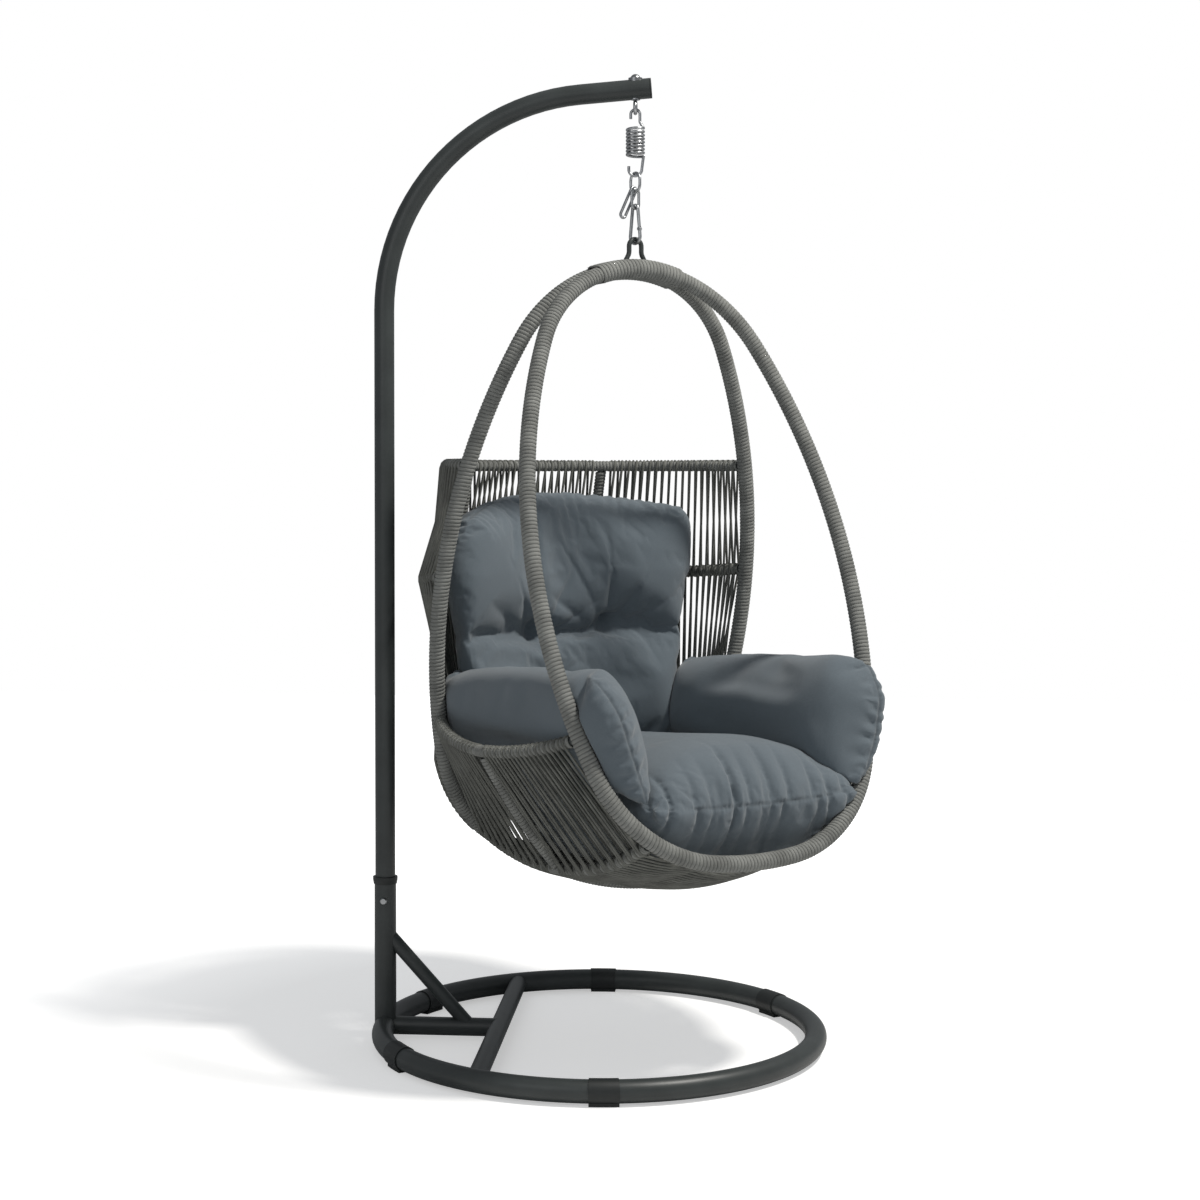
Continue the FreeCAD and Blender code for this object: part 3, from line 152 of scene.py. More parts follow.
def hoop_line(name, start):
    """Hoop from start degrees past its top on the left, down and round to the same place on the right."""
    half = [point for turn, point in hoop_half(name) if turn >= start]
    return half + list(reversed(flip(half)))[1:]


def on_hoop(name, height):
    """Point of the hoop's left side at a height."""
    side = [point for turn, point in hoop_half(name)]
    for above, below in zip(side, side[1:]):
        if below.z <= height <= above.z:
            return above.lerp(below, (above.z - height) / (above.z - below.z))


# %% Bars of the back, arms and seat
BACK_BREAK = math.radians(50.0)
RAIL_HEIGHT = 447.0
RIB_ACROSS = 172.0
RIB_FOOT = 140.0
KEEL_LOW = (80.0, 0.0, 352.0)
SIDE_LOW = (80.0, 230.0, 400.0)
RIM_LOW = (80.0, 407.0, 648.0)


def back_arch(height, bulge, sag):
    """Bar round the back between the sides of the rear hoop: a wide arc in the middle, tighter to its ends."""
    end = on_hoop("rear", height)
    middle = Vector((end.x - bulge, 0.0, end.z - sag))
    inward = Vector((end.x, 0.0, end.z)) - middle
    depth = inward.length
    inward.normalize()
    sine, cosine = math.sin(BACK_BREAK), math.cos(BACK_BREAK)
    share = sine * cosine - (1 - sine) * (1 - cosine)
    wide = (end.y * cosine - depth * (1 - sine)) / share
    tight = (depth * sine - end.y * (1 - cosine)) / share
    half = []
    for n in range(121):
        angle = math.pi / 2 * n / 120
        near, rest = min(angle, BACK_BREAK), max(angle, BACK_BREAK)
        across = wide * math.sin(near) + tight * (math.sin(rest) - sine)
        drop = wide * (1 - math.cos(near)) + tight * (cosine - math.cos(rest))
        half.append(middle + Vector((0.0, across, 0.0)) + inward * drop)
    return list(reversed(flip(half)))[:-1] + half


def at_across(line, across):
    """Point of a bar at a distance to the left of the middle."""
    return min(line, key=lambda p: abs(p.y - across))


upper_back = back_arch(1209.0, 362.0, 0.0)
lower_back = back_arch(981.0, 358.0, 27.0)
rail_end = on_hoop("rear", RAIL_HEIGHT)
rear_rail = bend(flip([rail_end])[0], (rail_end.x - 165.0, 0.0, rail_end.z - 8.0), rail_end)
ribs = [bend(at_across(upper_back, side * RIB_ACROSS), at_across(lower_back, side * RIB_ACROSS),
             at_across(rear_rail, side * RIB_FOOT)) for side in (1, -1)]
arm_rim = bend(on_hoop("rear", 685.0), RIM_LOW, on_hoop("front", 694.0))
side_rail = bend(rail_end, SIDE_LOW, on_hoop("front", 500.0))
keel = bend(hoop_half("rear")[-1][1], KEEL_LOW, hoop_half("front")[-1][1])
under_seat = sweep(KEEL_LOW, (0.0, 1.0, 0.0), SIDE_LOW)
side_rib = bend(SIDE_LOW, (80.0, 326.0, 519.0), RIM_LOW)
print("bars", len(upper_back), len(lower_back), len(rear_rail), len(arm_rim), len(side_rail))

# %% [markdown]
# ## Turns of rope
# The frame's rope is flat and four millimetres thick. It could be a bump on a smooth tube, but the edge of the
# tube would stay smooth, and the eye reads rope from its rippled edge. So one real turn is made: a small oval
# ring, swept once round the bar by a Screw modifier. An Array repeats the turn and a Curve modifier lays the
# row along the bar's middle line.

# %% Helpers for finished pieces
def only(obj):
    """Selects one object and makes it the active one."""
    bpy.ops.object.select_all(action="DESELECT")
    obj.select_set(True)
    bpy.context.view_layer.objects.active = obj


def apply_modifiers(obj):
    only(obj)
    for modifier in list(obj.modifiers):
        bpy.ops.object.modifier_apply(modifier=modifier.name)


def dress(obj, name, body, material, stands_for):
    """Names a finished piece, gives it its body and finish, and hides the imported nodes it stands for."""
    obj.name = name
    obj.data.name = name
    obj.data.materials.clear()
    obj.data.materials.append(material)
    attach(obj, body)
    if stands_for:
        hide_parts(*stands_for)
    return obj


def spline_object(lines, closed=False):
    """A curve object with one straight-run spline for each line."""
    data = bpy.data.curves.new("line", "CURVE")
    data.dimensions = "3D"
    data.twist_mode = "MINIMUM"
    data.use_path = True
    for line in lines:
        spline = data.splines.new("POLY")
        spline.points.add(len(line) - 1)
        for target, point in zip(spline.points, line):
            target.co = (point[0], point[1], point[2], 1.0)
        spline.use_cyclic_u = closed
    obj = bpy.data.objects.new("line", data)
    bpy.context.scene.collection.objects.link(obj)
    return obj


def length_of(line):
    return sum((b - a).length for a, b in zip(line, line[1:]))


def trimmed(line, start, end):
    """A line cut back by a length at each end."""
    total = length_of(line)
    kept = []
    gone = 0.0
    for a, b in zip(line, line[1:]):
        step = (b - a).length
        for limit in (start, total - end):
            if gone <= limit < gone + step:
                kept.append(a.lerp(b, (limit - gone) / step))
        if start < gone + step < total - end:
            kept.append(b.copy())
        gone += step
    return kept


# %% One turn of rope
ROPE_PITCH = 0.0077
ROPE_THICK = 0.004
ROPE_SIDES = 8
ROPE_OVERLAP = 1.04


def rope_turn(core, pitch, steps, spread=0.0):
    """One turn of flat rope round a bar along X. Spread pulls its two halves apart, for a flat pair of bars."""
    bpy.ops.object.select_all(action="DESELECT")
    bpy.ops.mesh.primitive_circle_add(vertices=ROPE_SIDES, radius=0.5, rotation=(math.pi / 2, 0.0, 0.0),
                                      location=(0.0, 0.0, core + ROPE_THICK / 2))
    turn = bpy.context.active_object
    turn.scale = (pitch * ROPE_OVERLAP, ROPE_THICK, 1.0)
    bpy.ops.object.transform_apply(location=True, rotation=True, scale=True)
    screw = turn.modifiers.new("turn", "SCREW")
    screw.axis = "X"
    screw.angle = 2 * math.pi
    screw.screw_offset = pitch
    screw.steps = screw.render_steps = steps
    screw.use_smooth_shade = True
    apply_modifiers(turn)
    mesh = turn.data
    rows = len(mesh.vertices) // ROPE_SIDES
    layer = mesh.uv_layers.new(name="rope")
    for face in mesh.polygons:
        sides = [mesh.loops[index].vertex_index % ROPE_SIDES for index in face.loop_indices]
        for index, side in zip(face.loop_indices, sides):
            row = mesh.loops[index].vertex_index // ROPE_SIDES
            full = side + ROPE_SIDES if side == 0 and max(sides) == ROPE_SIDES - 1 else side
            layer.data[index].uv = (row / (rows - 1), full / ROPE_SIDES)
    for vertex in mesh.vertices:
        if spread:
            vertex.co.y += math.copysign(spread, vertex.co.y)
    return turn


def rope_winding(line, core, pitch=ROPE_PITCH, steps=18, spread=0.0, level=False):
    """Rope wound side by side along a line in metres, over a bar of the core's radius."""
    length = length_of(line)
    count = max(1, round(length / pitch))
    pitch = length / count
    winding = rope_turn(core, pitch, steps, spread)
    row = winding.modifiers.new("row", "ARRAY")
    row.count = count
    row.use_relative_offset = False
    row.use_constant_offset = True
    row.constant_offset_displace = (pitch, 0.0, 0.0)
    row.use_merge_vertices = True
    row.merge_threshold = 0.00001
    path = spline_object([line])
    if level:
        path.data.twist_mode = "Z_UP"
    follow = winding.modifiers.new("follow", "CURVE")
    follow.object = path
    follow.deform_axis = "POS_X"
    apply_modifiers(winding)
    bpy.data.objects.remove(path)
    only(winding)
    bpy.ops.object.mode_set(mode="EDIT")
    bpy.ops.mesh.select_all(action="SELECT")
    bpy.ops.mesh.fill_holes(sides=0)
    bpy.ops.mesh.normals_make_consistent(inside=False)
    bpy.ops.object.mode_set(mode="OBJECT")
    return winding


def joined(parts):
    """One object from several."""
    only(parts[0])
    for part in parts[1:]:
        part.select_set(True)
    if len(parts) > 1:
        bpy.ops.object.join()
    return parts[0]


# %% [markdown]
# ## Finishes
# Each material is built from nodes. Rope and cord are braided from grey fibres, so they get a fine diamond
# braid and a slow change of tone. The cushions are a heather weave. The stand is powder coated, which is
# satin with a fine orange peel, and the small hardware is zinc plated.

# %% Node helper
def new_material(name, colour, roughness):
    material = bpy.data.materials.new(name)
    material.use_nodes = True
    tree = material.node_tree
    shader = tree.nodes["Principled BSDF"]
    shader.inputs["Base Color"].default_value = (*colour, 1.0)
    shader.inputs["Roughness"].default_value = roughness
    return material, tree, shader


def node(tree, kind, inputs=(), **settings):
    made = tree.nodes.new(kind)
    for name, value in settings.items():
        setattr(made, name, value)
    for key, value in dict(inputs).items():
        if isinstance(value, bpy.types.NodeSocket):
            tree.links.new(value, made.inputs[key])
        else:
            made.inputs[key].default_value = value
    return made


def maths(tree, operation, a, b=0.0):
    return node(tree, "ShaderNodeMath", {0: a, 1: b}, operation=operation).outputs[0]


def mottle(tree, vector, scale, detail=3.0):
    """Soft noise from 0 to 1."""
    inputs = {"Vector": vector, "Scale": scale, "Detail": detail}
    return node(tree, "ShaderNodeTexNoise", inputs).outputs["Fac"]


def toned(tree, factor, dark, light, low=0.35, high=0.65):
    ramp = node(tree, "ShaderNodeValToRGB", {"Fac": factor})
    ramp.color_ramp.elements[0].position = low
    ramp.color_ramp.elements[0].color = (*dark, 1.0)
    ramp.color_ramp.elements[1].position = high
    ramp.color_ramp.elements[1].color = (*light, 1.0)
    return ramp.outputs["Color"]


def shade(colour, factor):
    return tuple(channel * factor for channel in colour)


# %% Rope and cord
ROPE_GREY = (0.190, 0.194, 0.184)
CORD_GREY = (0.135, 0.138, 0.126)
CLOTH_BLUE = (0.105, 0.130, 0.150)
STAND_GREY = (0.036, 0.042, 0.042)
FIBRES = 1500.0


def braided(name, colour, uv_scale):
    """Braided fibres: two crossing waves along the rope's own map, or through space where it has none."""
    material, tree, shader = new_material(name, colour, 0.82)
    place_node = node(tree, "ShaderNodeTexCoord")
    spot = place_node.outputs["Object"]
    if uv_scale:
        flat = node(tree, "ShaderNodeSeparateXYZ", {0: place_node.outputs["UV"]})
        along = maths(tree, "MULTIPLY", flat.outputs[0], uv_scale[0] * 2 * math.pi)
        round_it = maths(tree, "MULTIPLY", flat.outputs[1], uv_scale[1] * 2 * math.pi)
    else:
        flat = node(tree, "ShaderNodeSeparateXYZ", {0: spot})
        along = maths(tree, "MULTIPLY", flat.outputs[2], FIBRES)
        across = maths(tree, "ADD", flat.outputs[0], flat.outputs[1])
        round_it = maths(tree, "MULTIPLY", across, FIBRES)
    one = maths(tree, "SINE", maths(tree, "ADD", along, round_it))
    other = maths(tree, "SINE", maths(tree, "SUBTRACT", along, round_it))
    braid = maths(tree, "MULTIPLY", one, other)
    slow = mottle(tree, spot, 26.0)
    fine = mottle(tree, spot, 700.0, 2.0)
    mixed = maths(tree, "ADD", maths(tree, "MULTIPLY", slow, 0.6), maths(tree, "MULTIPLY", fine, 0.4))
    tone = maths(tree, "ADD", mixed, maths(tree, "MULTIPLY", braid, 0.06))
    tree.links.new(toned(tree, tone, shade(colour, 0.72), shade(colour, 1.3)), shader.inputs["Base Color"])
    height = maths(tree, "ADD", maths(tree, "MULTIPLY", braid, 0.5), maths(tree, "MULTIPLY", fine, 0.7))
    bump = node(tree, "ShaderNodeBump", {"Height": height, "Strength": 0.35, "Distance": 0.0006})
    tree.links.new(bump.outputs["Normal"], shader.inputs["Normal"])
    shader.inputs["Specular IOR Level"].default_value = 0.25
    return material


rope_material = braided("rope", ROPE_GREY, (30.0, 4.0))
cord_material = braided("cord", CORD_GREY, None)


# %% Cushion cloth
THREAD_PITCH = 0.0016


def woven(name, colour):
    material, tree, shader = new_material(name, colour, 0.88)
    spot = node(tree, "ShaderNodeTexCoord").outputs["Object"]
    parts = node(tree, "ShaderNodeSeparateXYZ", {0: spot})
    across = maths(tree, "ADD", parts.outputs[0], parts.outputs[1])
    thread = 2 * math.pi / THREAD_PITCH
    warp = maths(tree, "SINE", maths(tree, "MULTIPLY", across, thread))
    weft = maths(tree, "SINE", maths(tree, "MULTIPLY", parts.outputs[2], thread))
    weave = maths(tree, "MULTIPLY", warp, weft)
    flattened = node(tree, "ShaderNodeMapping", {"Vector": spot, "Scale": (1.0, 1.0, 6.0)}).outputs[0]
    slub = mottle(tree, flattened, 260.0)
    fleck = mottle(tree, spot, 1100.0, 1.0)
    cloud = mottle(tree, spot, 9.0)
    tone = maths(tree, "ADD", maths(tree, "MULTIPLY", slub, 0.4), maths(tree, "MULTIPLY", fleck, 0.35))
    tone = maths(tree, "ADD", tone, maths(tree, "MULTIPLY", cloud, 0.25))
    # The cloth is darker along the seam: painted shade in the sewn groove.
    painted_groove_shade = node(tree, "ShaderNodeAttribute", attribute_name="seam", attribute_type="GEOMETRY").outputs["Fac"]
    tone = maths(tree, "SUBTRACT", tone, maths(tree, "MULTIPLY", painted_groove_shade, 0.35))
    tree.links.new(toned(tree, tone, shade(colour, 0.78), shade(colour, 1.22), 0.2, 0.72),
                   shader.inputs["Base Color"])
    height = maths(tree, "ADD", maths(tree, "MULTIPLY", weave, 0.4), slub)
    bump = node(tree, "ShaderNodeBump", {"Height": height, "Strength": 0.25, "Distance": 0.0008})
    tree.links.new(bump.outputs["Normal"], shader.inputs["Normal"])
    shader.inputs["Sheen Weight"].default_value = 0.25
    shader.inputs["Sheen Roughness"].default_value = 0.6
    shader.inputs["Specular IOR Level"].default_value = 0.2
    return material


cloth_material = woven("cushion_cloth", CLOTH_BLUE)


# %% Powder coat, black plastic and zinc
def coated(name, colour, roughness, grain, metallic=0.0, spread=0.12, bump_strength=0.12):
    material, tree, shader = new_material(name, colour, roughness)
    spot = node(tree, "ShaderNodeTexCoord").outputs["Object"]
    slow = mottle(tree, spot, 14.0)
    fine = mottle(tree, spot, grain, 2.0)
    tree.links.new(toned(tree, slow, shade(colour, 1 - spread), shade(colour, 1 + spread)),
                   shader.inputs["Base Color"])
    rough = maths(tree, "ADD", maths(tree, "MULTIPLY", fine, 0.12), roughness - 0.06)
    tree.links.new(rough, shader.inputs["Roughness"])
    bump = node(tree, "ShaderNodeBump", {"Height": fine, "Strength": bump_strength, "Distance": 0.0004})
    tree.links.new(bump.outputs["Normal"], shader.inputs["Normal"])
    shader.inputs["Metallic"].default_value = metallic
    return material


paint_material = coated("dark_paint", STAND_GREY, 0.42, 900.0)
plastic_material = coated("black_plastic", (0.014, 0.017, 0.017), 0.5, 500.0)
zinc_material = coated("zinc_steel", (0.42, 0.43, 0.44), 0.34, 420.0, metallic=1.0, spread=0.25)

CAD_FINISH = {"dark_paint": paint_material, "black_plastic": plastic_material, "zinc_steel": zinc_material,
              "rope": rope_material, "cord": cord_material, "cushion_cloth": cloth_material}
for part in frame["record"]["subparts"]:
    mesh = nodes[part["node"]].data
    mesh.materials.clear()
    mesh.materials.append(CAD_FINISH[part["material_slot"]])

# %% [markdown]
# ## The wound frame
# The two hoops meet at the top, where one broad winding holds them together. Below it each hoop has its own
# winding. The bars' windings stop where they meet the rope of a hoop or of another bar. The winding of the
# rib under the seat stands for the bar as well, because the rope hides the whole bar.

# %% Hoops
HOOP_CORE = 0.0127
BAR_CORE = 0.0082
HOOP_WRAP_START = 19.4
AT_HOOP = 17.5
AT_BAR = 12.4
for name in ("front", "rear"):
    line = [place(p) for p in hoop_line(name, HOOP_WRAP_START)]
    winding = rope_winding(line, HOOP_CORE, steps=20)
    dress(winding, name + "_hoop_rope", "basket", rope_material, [name + "_hoop_wrap"])
    print(winding.name, len(winding.data.polygons))

# %% Bars
BARS = {"back_bar_upper": ([upper_back], AT_HOOP, AT_HOOP), "back_bar_lower": ([lower_back], AT_HOOP, AT_HOOP),
        "seat_rear_rail": ([rear_rail], AT_HOOP, AT_HOOP), "back_rib": (ribs, AT_BAR, AT_BAR),
        "left_arm_rim": ([arm_rim], AT_HOOP, AT_HOOP), "right_arm_rim": ([flip(arm_rim)], AT_HOOP, AT_HOOP),
        "seat_side_rail": ([side_rail, flip(side_rail)], AT_HOOP, AT_HOOP),
        "keel_bar": ([keel], AT_HOOP, AT_HOOP),
        "cross_rib": ([under_seat, side_rib, flip(under_seat), flip(side_rib)], AT_BAR, AT_BAR)}
WRAP_NODES = {"back_rib": "back_rib_wraps", "seat_side_rail": "seat_side_rail_wraps"}
for name, (lines, start, end) in BARS.items():
    paths = [[place(p) for p in trimmed(line, start, end)] for line in lines]
    winding = joined([rope_winding(path, BAR_CORE, steps=16) for path in paths])
    stands_for = [WRAP_NODES.get(name, name + "_wrap")] + (["cross_rib"] if name == "cross_rib" else [])
    dress(winding, name + "_rope", "basket", rope_material, stands_for)
print("bars wound")

# %% Top winding over both hoops
TOP_RADIUS = 298.0
TOP_HALF_TURN = 19.0
TOP_CORE = 0.0165
TOP_SPREAD = 0.0165
TOP_PITCH = 0.0082
top_line = []
for n in range(61):
    turn = math.radians(TOP_HALF_TURN * (n / 30 - 1))
    top_line.append(place((0.0, TOP_RADIUS * math.sin(turn), APEX - TOP_RADIUS * (1 - math.cos(turn)))))
top = rope_winding(top_line, TOP_CORE, pitch=TOP_PITCH, steps=22, spread=TOP_SPREAD, level=True)
dress(top, "top_rope", "basket", rope_material, ["top_wrap"])

# %% [markdown]
# ## Laced cords
# Each cord runs to and fro between two bars, so it is made strand by strand. In the back and under the seat it
# goes over one bar on the outside and round the other on the inside, so that each pair of strands crosses. In
# the sides it runs in two layers of narrow loops. The strands are straight, because they are pulled tight, and
# only those under the seat sag. Their ends hug the bars. Each is a thin tube: hundreds of them stay light.

# %% Strands
CORD_RADIUS = 2.9
HUG = 11.6
HOOP_HUG = 19.6
BACK_LEAN = 0.22
MIDDLE = Vector((80.0, 0.0, 820.0))


def at_share(line, share):
    """Point at a share of a line's length."""
    place_along = share * (len(line) - 1)
    index = min(int(place_along), len(line) - 2)
    return line[index].lerp(line[index + 1], place_along - index)


def strand(top_point, foot_point, out, sides, foot_hug=HUG, sag=0.0):
    """Points of one strand, from round the upper bar to round the lower one. Sides are 1 outside, -1 inside."""
    rise = (top_point - foot_point).normalized()
    above, below = out * sides[0], out * sides[1]
    points = [top_point + rise * HUG - above * HUG * 0.35]
    for degrees in (62, 25):
        turn = math.radians(degrees)
        points.append(top_point + (rise * math.sin(turn) + above * math.cos(turn)) * HUG)
    start = top_point + above * (HUG + 0.6) - rise * 6.0
    stop = foot_point + below * (foot_hug + 0.6) + rise * 6.0
    points.append(start)
    if sag:
        points += [start.lerp(stop, n / 6) + out * sag * 4 * (n / 6) * (1 - n / 6) for n in range(1, 6)]
    points.append(stop)
    for degrees in (25, 62):
        turn = math.radians(degrees)
        points.append(foot_point - (rise * math.sin(turn) - below * math.cos(turn)) * foot_hug)
    points.append(foot_point - rise * foot_hug - below * foot_hug * 0.35)
    return points


def cords(name, lines, node_name):
    curve = spline_object([[place(p) for p in line] for line in lines])
    curve.data.bevel_depth = CORD_RADIUS * MILLI
    curve.data.bevel_resolution = 1
    curve.data.use_fill_caps = True
    only(curve)
    bpy.ops.object.convert(target="MESH")
    piece = bpy.context.active_object
    bpy.ops.object.shade_smooth()
    dress(piece, name, "basket", cord_material, [node_name])
    print(name, len(lines), "strands", len(piece.data.polygons), "faces")
    return piece


# %% Back cords, in the three bays between hoop and ribs
def share_at(line, across):
    nearest = min(range(len(line)), key=lambda index: abs(line[index].y - across))
    return nearest / (len(line) - 1)


def bays(line, rib, hoop_gap, rib_gap):
    """Shares of a back bar between the right end, the two ribs and the left end."""
    total = length_of(line)
    right, left = share_at(line, -rib), share_at(line, rib)
    near, far = hoop_gap / total, rib_gap / total
    return ((near, right - far), (right + far, left - far), (left + far, 1 - near))


def even(line, count=160):
    """The same line with evenly spaced points."""
    total = length_of(line)
    spaced = []
    gone, index = 0.0, 0
    for n in range(count + 1):
        goal = total * n / count
        while index < len(line) - 2 and gone + (line[index + 1] - line[index]).length < goal:
            gone += (line[index + 1] - line[index]).length
            index += 1
        step = (line[index + 1] - line[index]).length
        spaced.append(line[index].lerp(line[index + 1], min(max((goal - gone) / step, 0.0), 1.0)))
    return spaced


upper_even, lower_even, rail_even = even(upper_back), even(lower_back), even(rear_rail)


def back_outward(point):
    """Level direction from the middle of the basket to a point of its back."""
    return Vector((point.x + 20.0, point.y, 0.0)).normalized()


def back_lacing(upper, upper_bays, lower, lower_bays, pitch):
    """Pairs of crossing strands, bay by bay, between two bars of the back."""
    lines = []
    for (a, b), (c, d) in zip(upper_bays, lower_bays):
        count = round((b - a) * length_of(upper) / pitch)
        for number in range(count):
            for side in (1, -1):
                lean = BACK_LEAN * side
                share = (number + 0.5 - lean) / count
                other = (number + 0.5 + lean) / count
                top_point = at_share(upper, a + (b - a) * share)
                foot_point = at_share(lower, c + (d - c) * other)
                out = back_outward(top_point)
                lines.append(strand(top_point, foot_point, out, (side, -side)))
    return lines


upper_bays = bays(upper_even, RIB_ACROSS, 24.0, 17.0)
lower_bays = bays(lower_even, RIB_ACROSS, 24.0, 17.0)
rail_bays = bays(rail_even, RIB_FOOT, 24.0, 16.0)
cords("back_cords_upper_strands", back_lacing(upper_even, upper_bays, lower_even, lower_bays, 16.5),
      "back_cords_upper")
foot_rail = [p for p in rail_even if p.y >= RIB_FOOT + 16.0]
foot_path = even(foot_rail + [on_hoop("rear", RAIL_HEIGHT + LINE_STEP * n) for n in range(1, 39)])
rail_share = length_of(foot_rail) / length_of(foot_path)


def side_back_lacing(line, a, b, pitch):
    """The outer bay below the lower bar: its cords end on the rail and then climb the hoop."""
    lines = []
    count = round((b - a) * length_of(line) / pitch)
    for number in range(count):
        for side in (1, -1):
            lean = BACK_LEAN * side
            share = (number + 0.5 + lean) / count
            top_point = at_share(line, a + (b - a) * (number + 0.5 - lean) / count)
            foot_point = at_share(foot_path, share)
            hug = HUG if share < rail_share else HOOP_HUG
            lines.append(strand(top_point, foot_point, back_outward(top_point), (side, -side), hug))
    return lines


lower_lines = back_lacing(lower_even, lower_bays[1:2], rail_even, rail_bays[1:2], 17.5)
side_bay = side_back_lacing(lower_even, *lower_bays[2], 16.5)
cords("back_cords_lower_strands", lower_lines + side_bay + [flip(line) for line in side_bay],
      "back_cords_lower")

# %% Side and bottom cords
arm_even, side_even, keel_even = even(arm_rim), even(side_rail), even(keel)
HOOP_GAP = 22.0
RIB_GAP = 15.0


def side_shares(line):
    """Shares of a side bar behind and in front of the rib."""
    rib = min(range(len(line)), key=lambda index: abs(line[index].x - KEEL_LOW[0])) / (len(line) - 1)
    total = length_of(line)
    return (HOOP_GAP / total, rib - RIB_GAP / total), (rib + RIB_GAP / total, 1 - HOOP_GAP / total)


def outward(line, a, b, top_point, foot_point):
    """Direction square to a panel of cords, away from the sitter."""
    out = (at_share(line, b) - at_share(line, a)).cross(top_point - foot_point).normalized()
    return -out if out.dot((top_point + foot_point) / 2 - MIDDLE) < 0 else out


def zigzag(upper, lower, pitch):
    """Outer and inner layer of cords that run down to a loop on the lower bar and up again."""
    lines = []
    for (a, b), (c, d) in zip(side_shares(upper), side_shares(lower)):
        count = round((d - c) * length_of(lower) / pitch)
        for layer, start in ((1, 0.5), (-1, 0.0)):
            for number in range(count if layer == 1 else count + 1):
                for lean in (-1, 1):
                    low = min(max(number + start + 0.09 * lean, 0.05), count - 0.05) / count
                    high = min(max(number + start + 0.25 * lean, 0.05), count - 0.05) / count
                    top_point = at_share(upper, a + (b - a) * high)
                    foot_point = at_share(lower, c + (d - c) * low)
                    out = outward(upper, a, b, top_point, foot_point)
                    lines.append(strand(top_point, foot_point, out, (layer, layer)))
    return lines


def crossed(upper, lower, pitch, sag):
    """Pairs of strands that cross between two bars, and sag under the seat."""
    lines = []
    for (a, b), (c, d) in zip(side_shares(upper), side_shares(lower)):
        count = round((d - c) * length_of(lower) / pitch)
        for number in range(count):
            for side in (1, -1):
                top_point = at_share(upper, a + (b - a) * (number + 0.5 - 0.45 * side) / count)
                foot_point = at_share(lower, c + (d - c) * (number + 0.5 + 0.45 * side) / count)
                out = outward(upper, a, b, top_point, foot_point)
                lines.append(strand(top_point, foot_point, out, (side, -side), sag=sag))
    return lines


side_lines = zigzag(arm_even, side_even, 30.0)
cords("left_side_strands", side_lines, "left_side_cords")
cords("right_side_strands", [flip(line) for line in side_lines], "right_side_cords")
bottom_lines = crossed(side_even, keel_even, 15.0, 13.0)
cords("bottom_strands", bottom_lines + [flip(line) for line in bottom_lines], "bottom_cords")

# %% [markdown]
# ## Cushions
# Each cushion is two panels of cloth sewn together and filled with loose fibre. The seam runs round the edge,
# and the cloth puckers along it. A closed form with gathers beside the seam comes first. Then a short cloth
# simulation with air pressure rounds it, with the seam and the tufts held still, so that the folds fall the
# way cloth does. Where it meets a hoop or another cushion the skin is moved clear, which leaves a dent. One
# subdivision at the end smooths it, and the sewn seam is drawn in last.

# %% Keeping cushions clear of the hoops and of each other
HOOP_ROOM = 18.2
HOOP_REACH = 0.07
SUNK = 0.06
hoop_lines = [hoop_line(name, 40.0) for name in ("front", "rear")]


def dented(obj):
    """Keeps a cushion's skin inside a hoop wherever it lies level with the hoop's rope, which leaves a dent."""
    for line in hoop_lines:
        tree = KDTree(len(line))
        for number, point in enumerate(line):
            tree.insert(place(point), number)
        tree.balance()
        for vertex in obj.data.vertices:
            spot, index, distance = tree.find(vertex.co)
            if distance > HOOP_REACH:
                continue
            ahead = (line[min(index + 1, len(line) - 1)] - line[max(index - 1, 0)]).normalized()
            inward = Vector((0.0, -line[index].y, MIDDLE.z - line[index].z))
            inward = (inward - ahead * inward.dot(ahead)).normalized()
            reach = unplace(vertex.co) - line[index]
            square = ahead.cross(inward)
            beside, inside = reach.dot(square), reach.dot(inward)
            if abs(beside) < HOOP_ROOM:
                needed = math.sqrt(HOOP_ROOM ** 2 - beside ** 2)
                if inside < needed:
                    vertex.co = place(unplace(vertex.co) + inward * (needed - inside))


def clear_of(obj, others, room=0.0008):
    """Moves the skin of a cushion to the outside of its neighbours where it has sunk into them."""
    for other in others:
        other.data.calc_loop_triangles()
        tree = BVHTree.FromPolygons([vertex.co for vertex in other.data.vertices],
                                    [tuple(t.vertices) for t in other.data.loop_triangles])
        moved = 0
        for vertex in obj.data.vertices:
            spot, normal, index, distance = tree.find_nearest(vertex.co, SUNK)
            if spot is not None and (vertex.co - spot).dot(normal) < room * 0.5:
                vertex.co = spot + normal * room
                moved += 1
        print(obj.name, "rests on", other.name, "at", moved, "points")


# %% Closed forms
def between(value, *stops):
    """Straight-line value between (place, value) stops."""
    for (a, low), (b, high) in zip(stops, stops[1:]):
        if value <= b:
            return low + (high - low) * max(0.0, (value - a) / (b - a))
    return stops[-1][1]


def power(value, exponent):
    return math.copysign(abs(value) ** exponent, value)


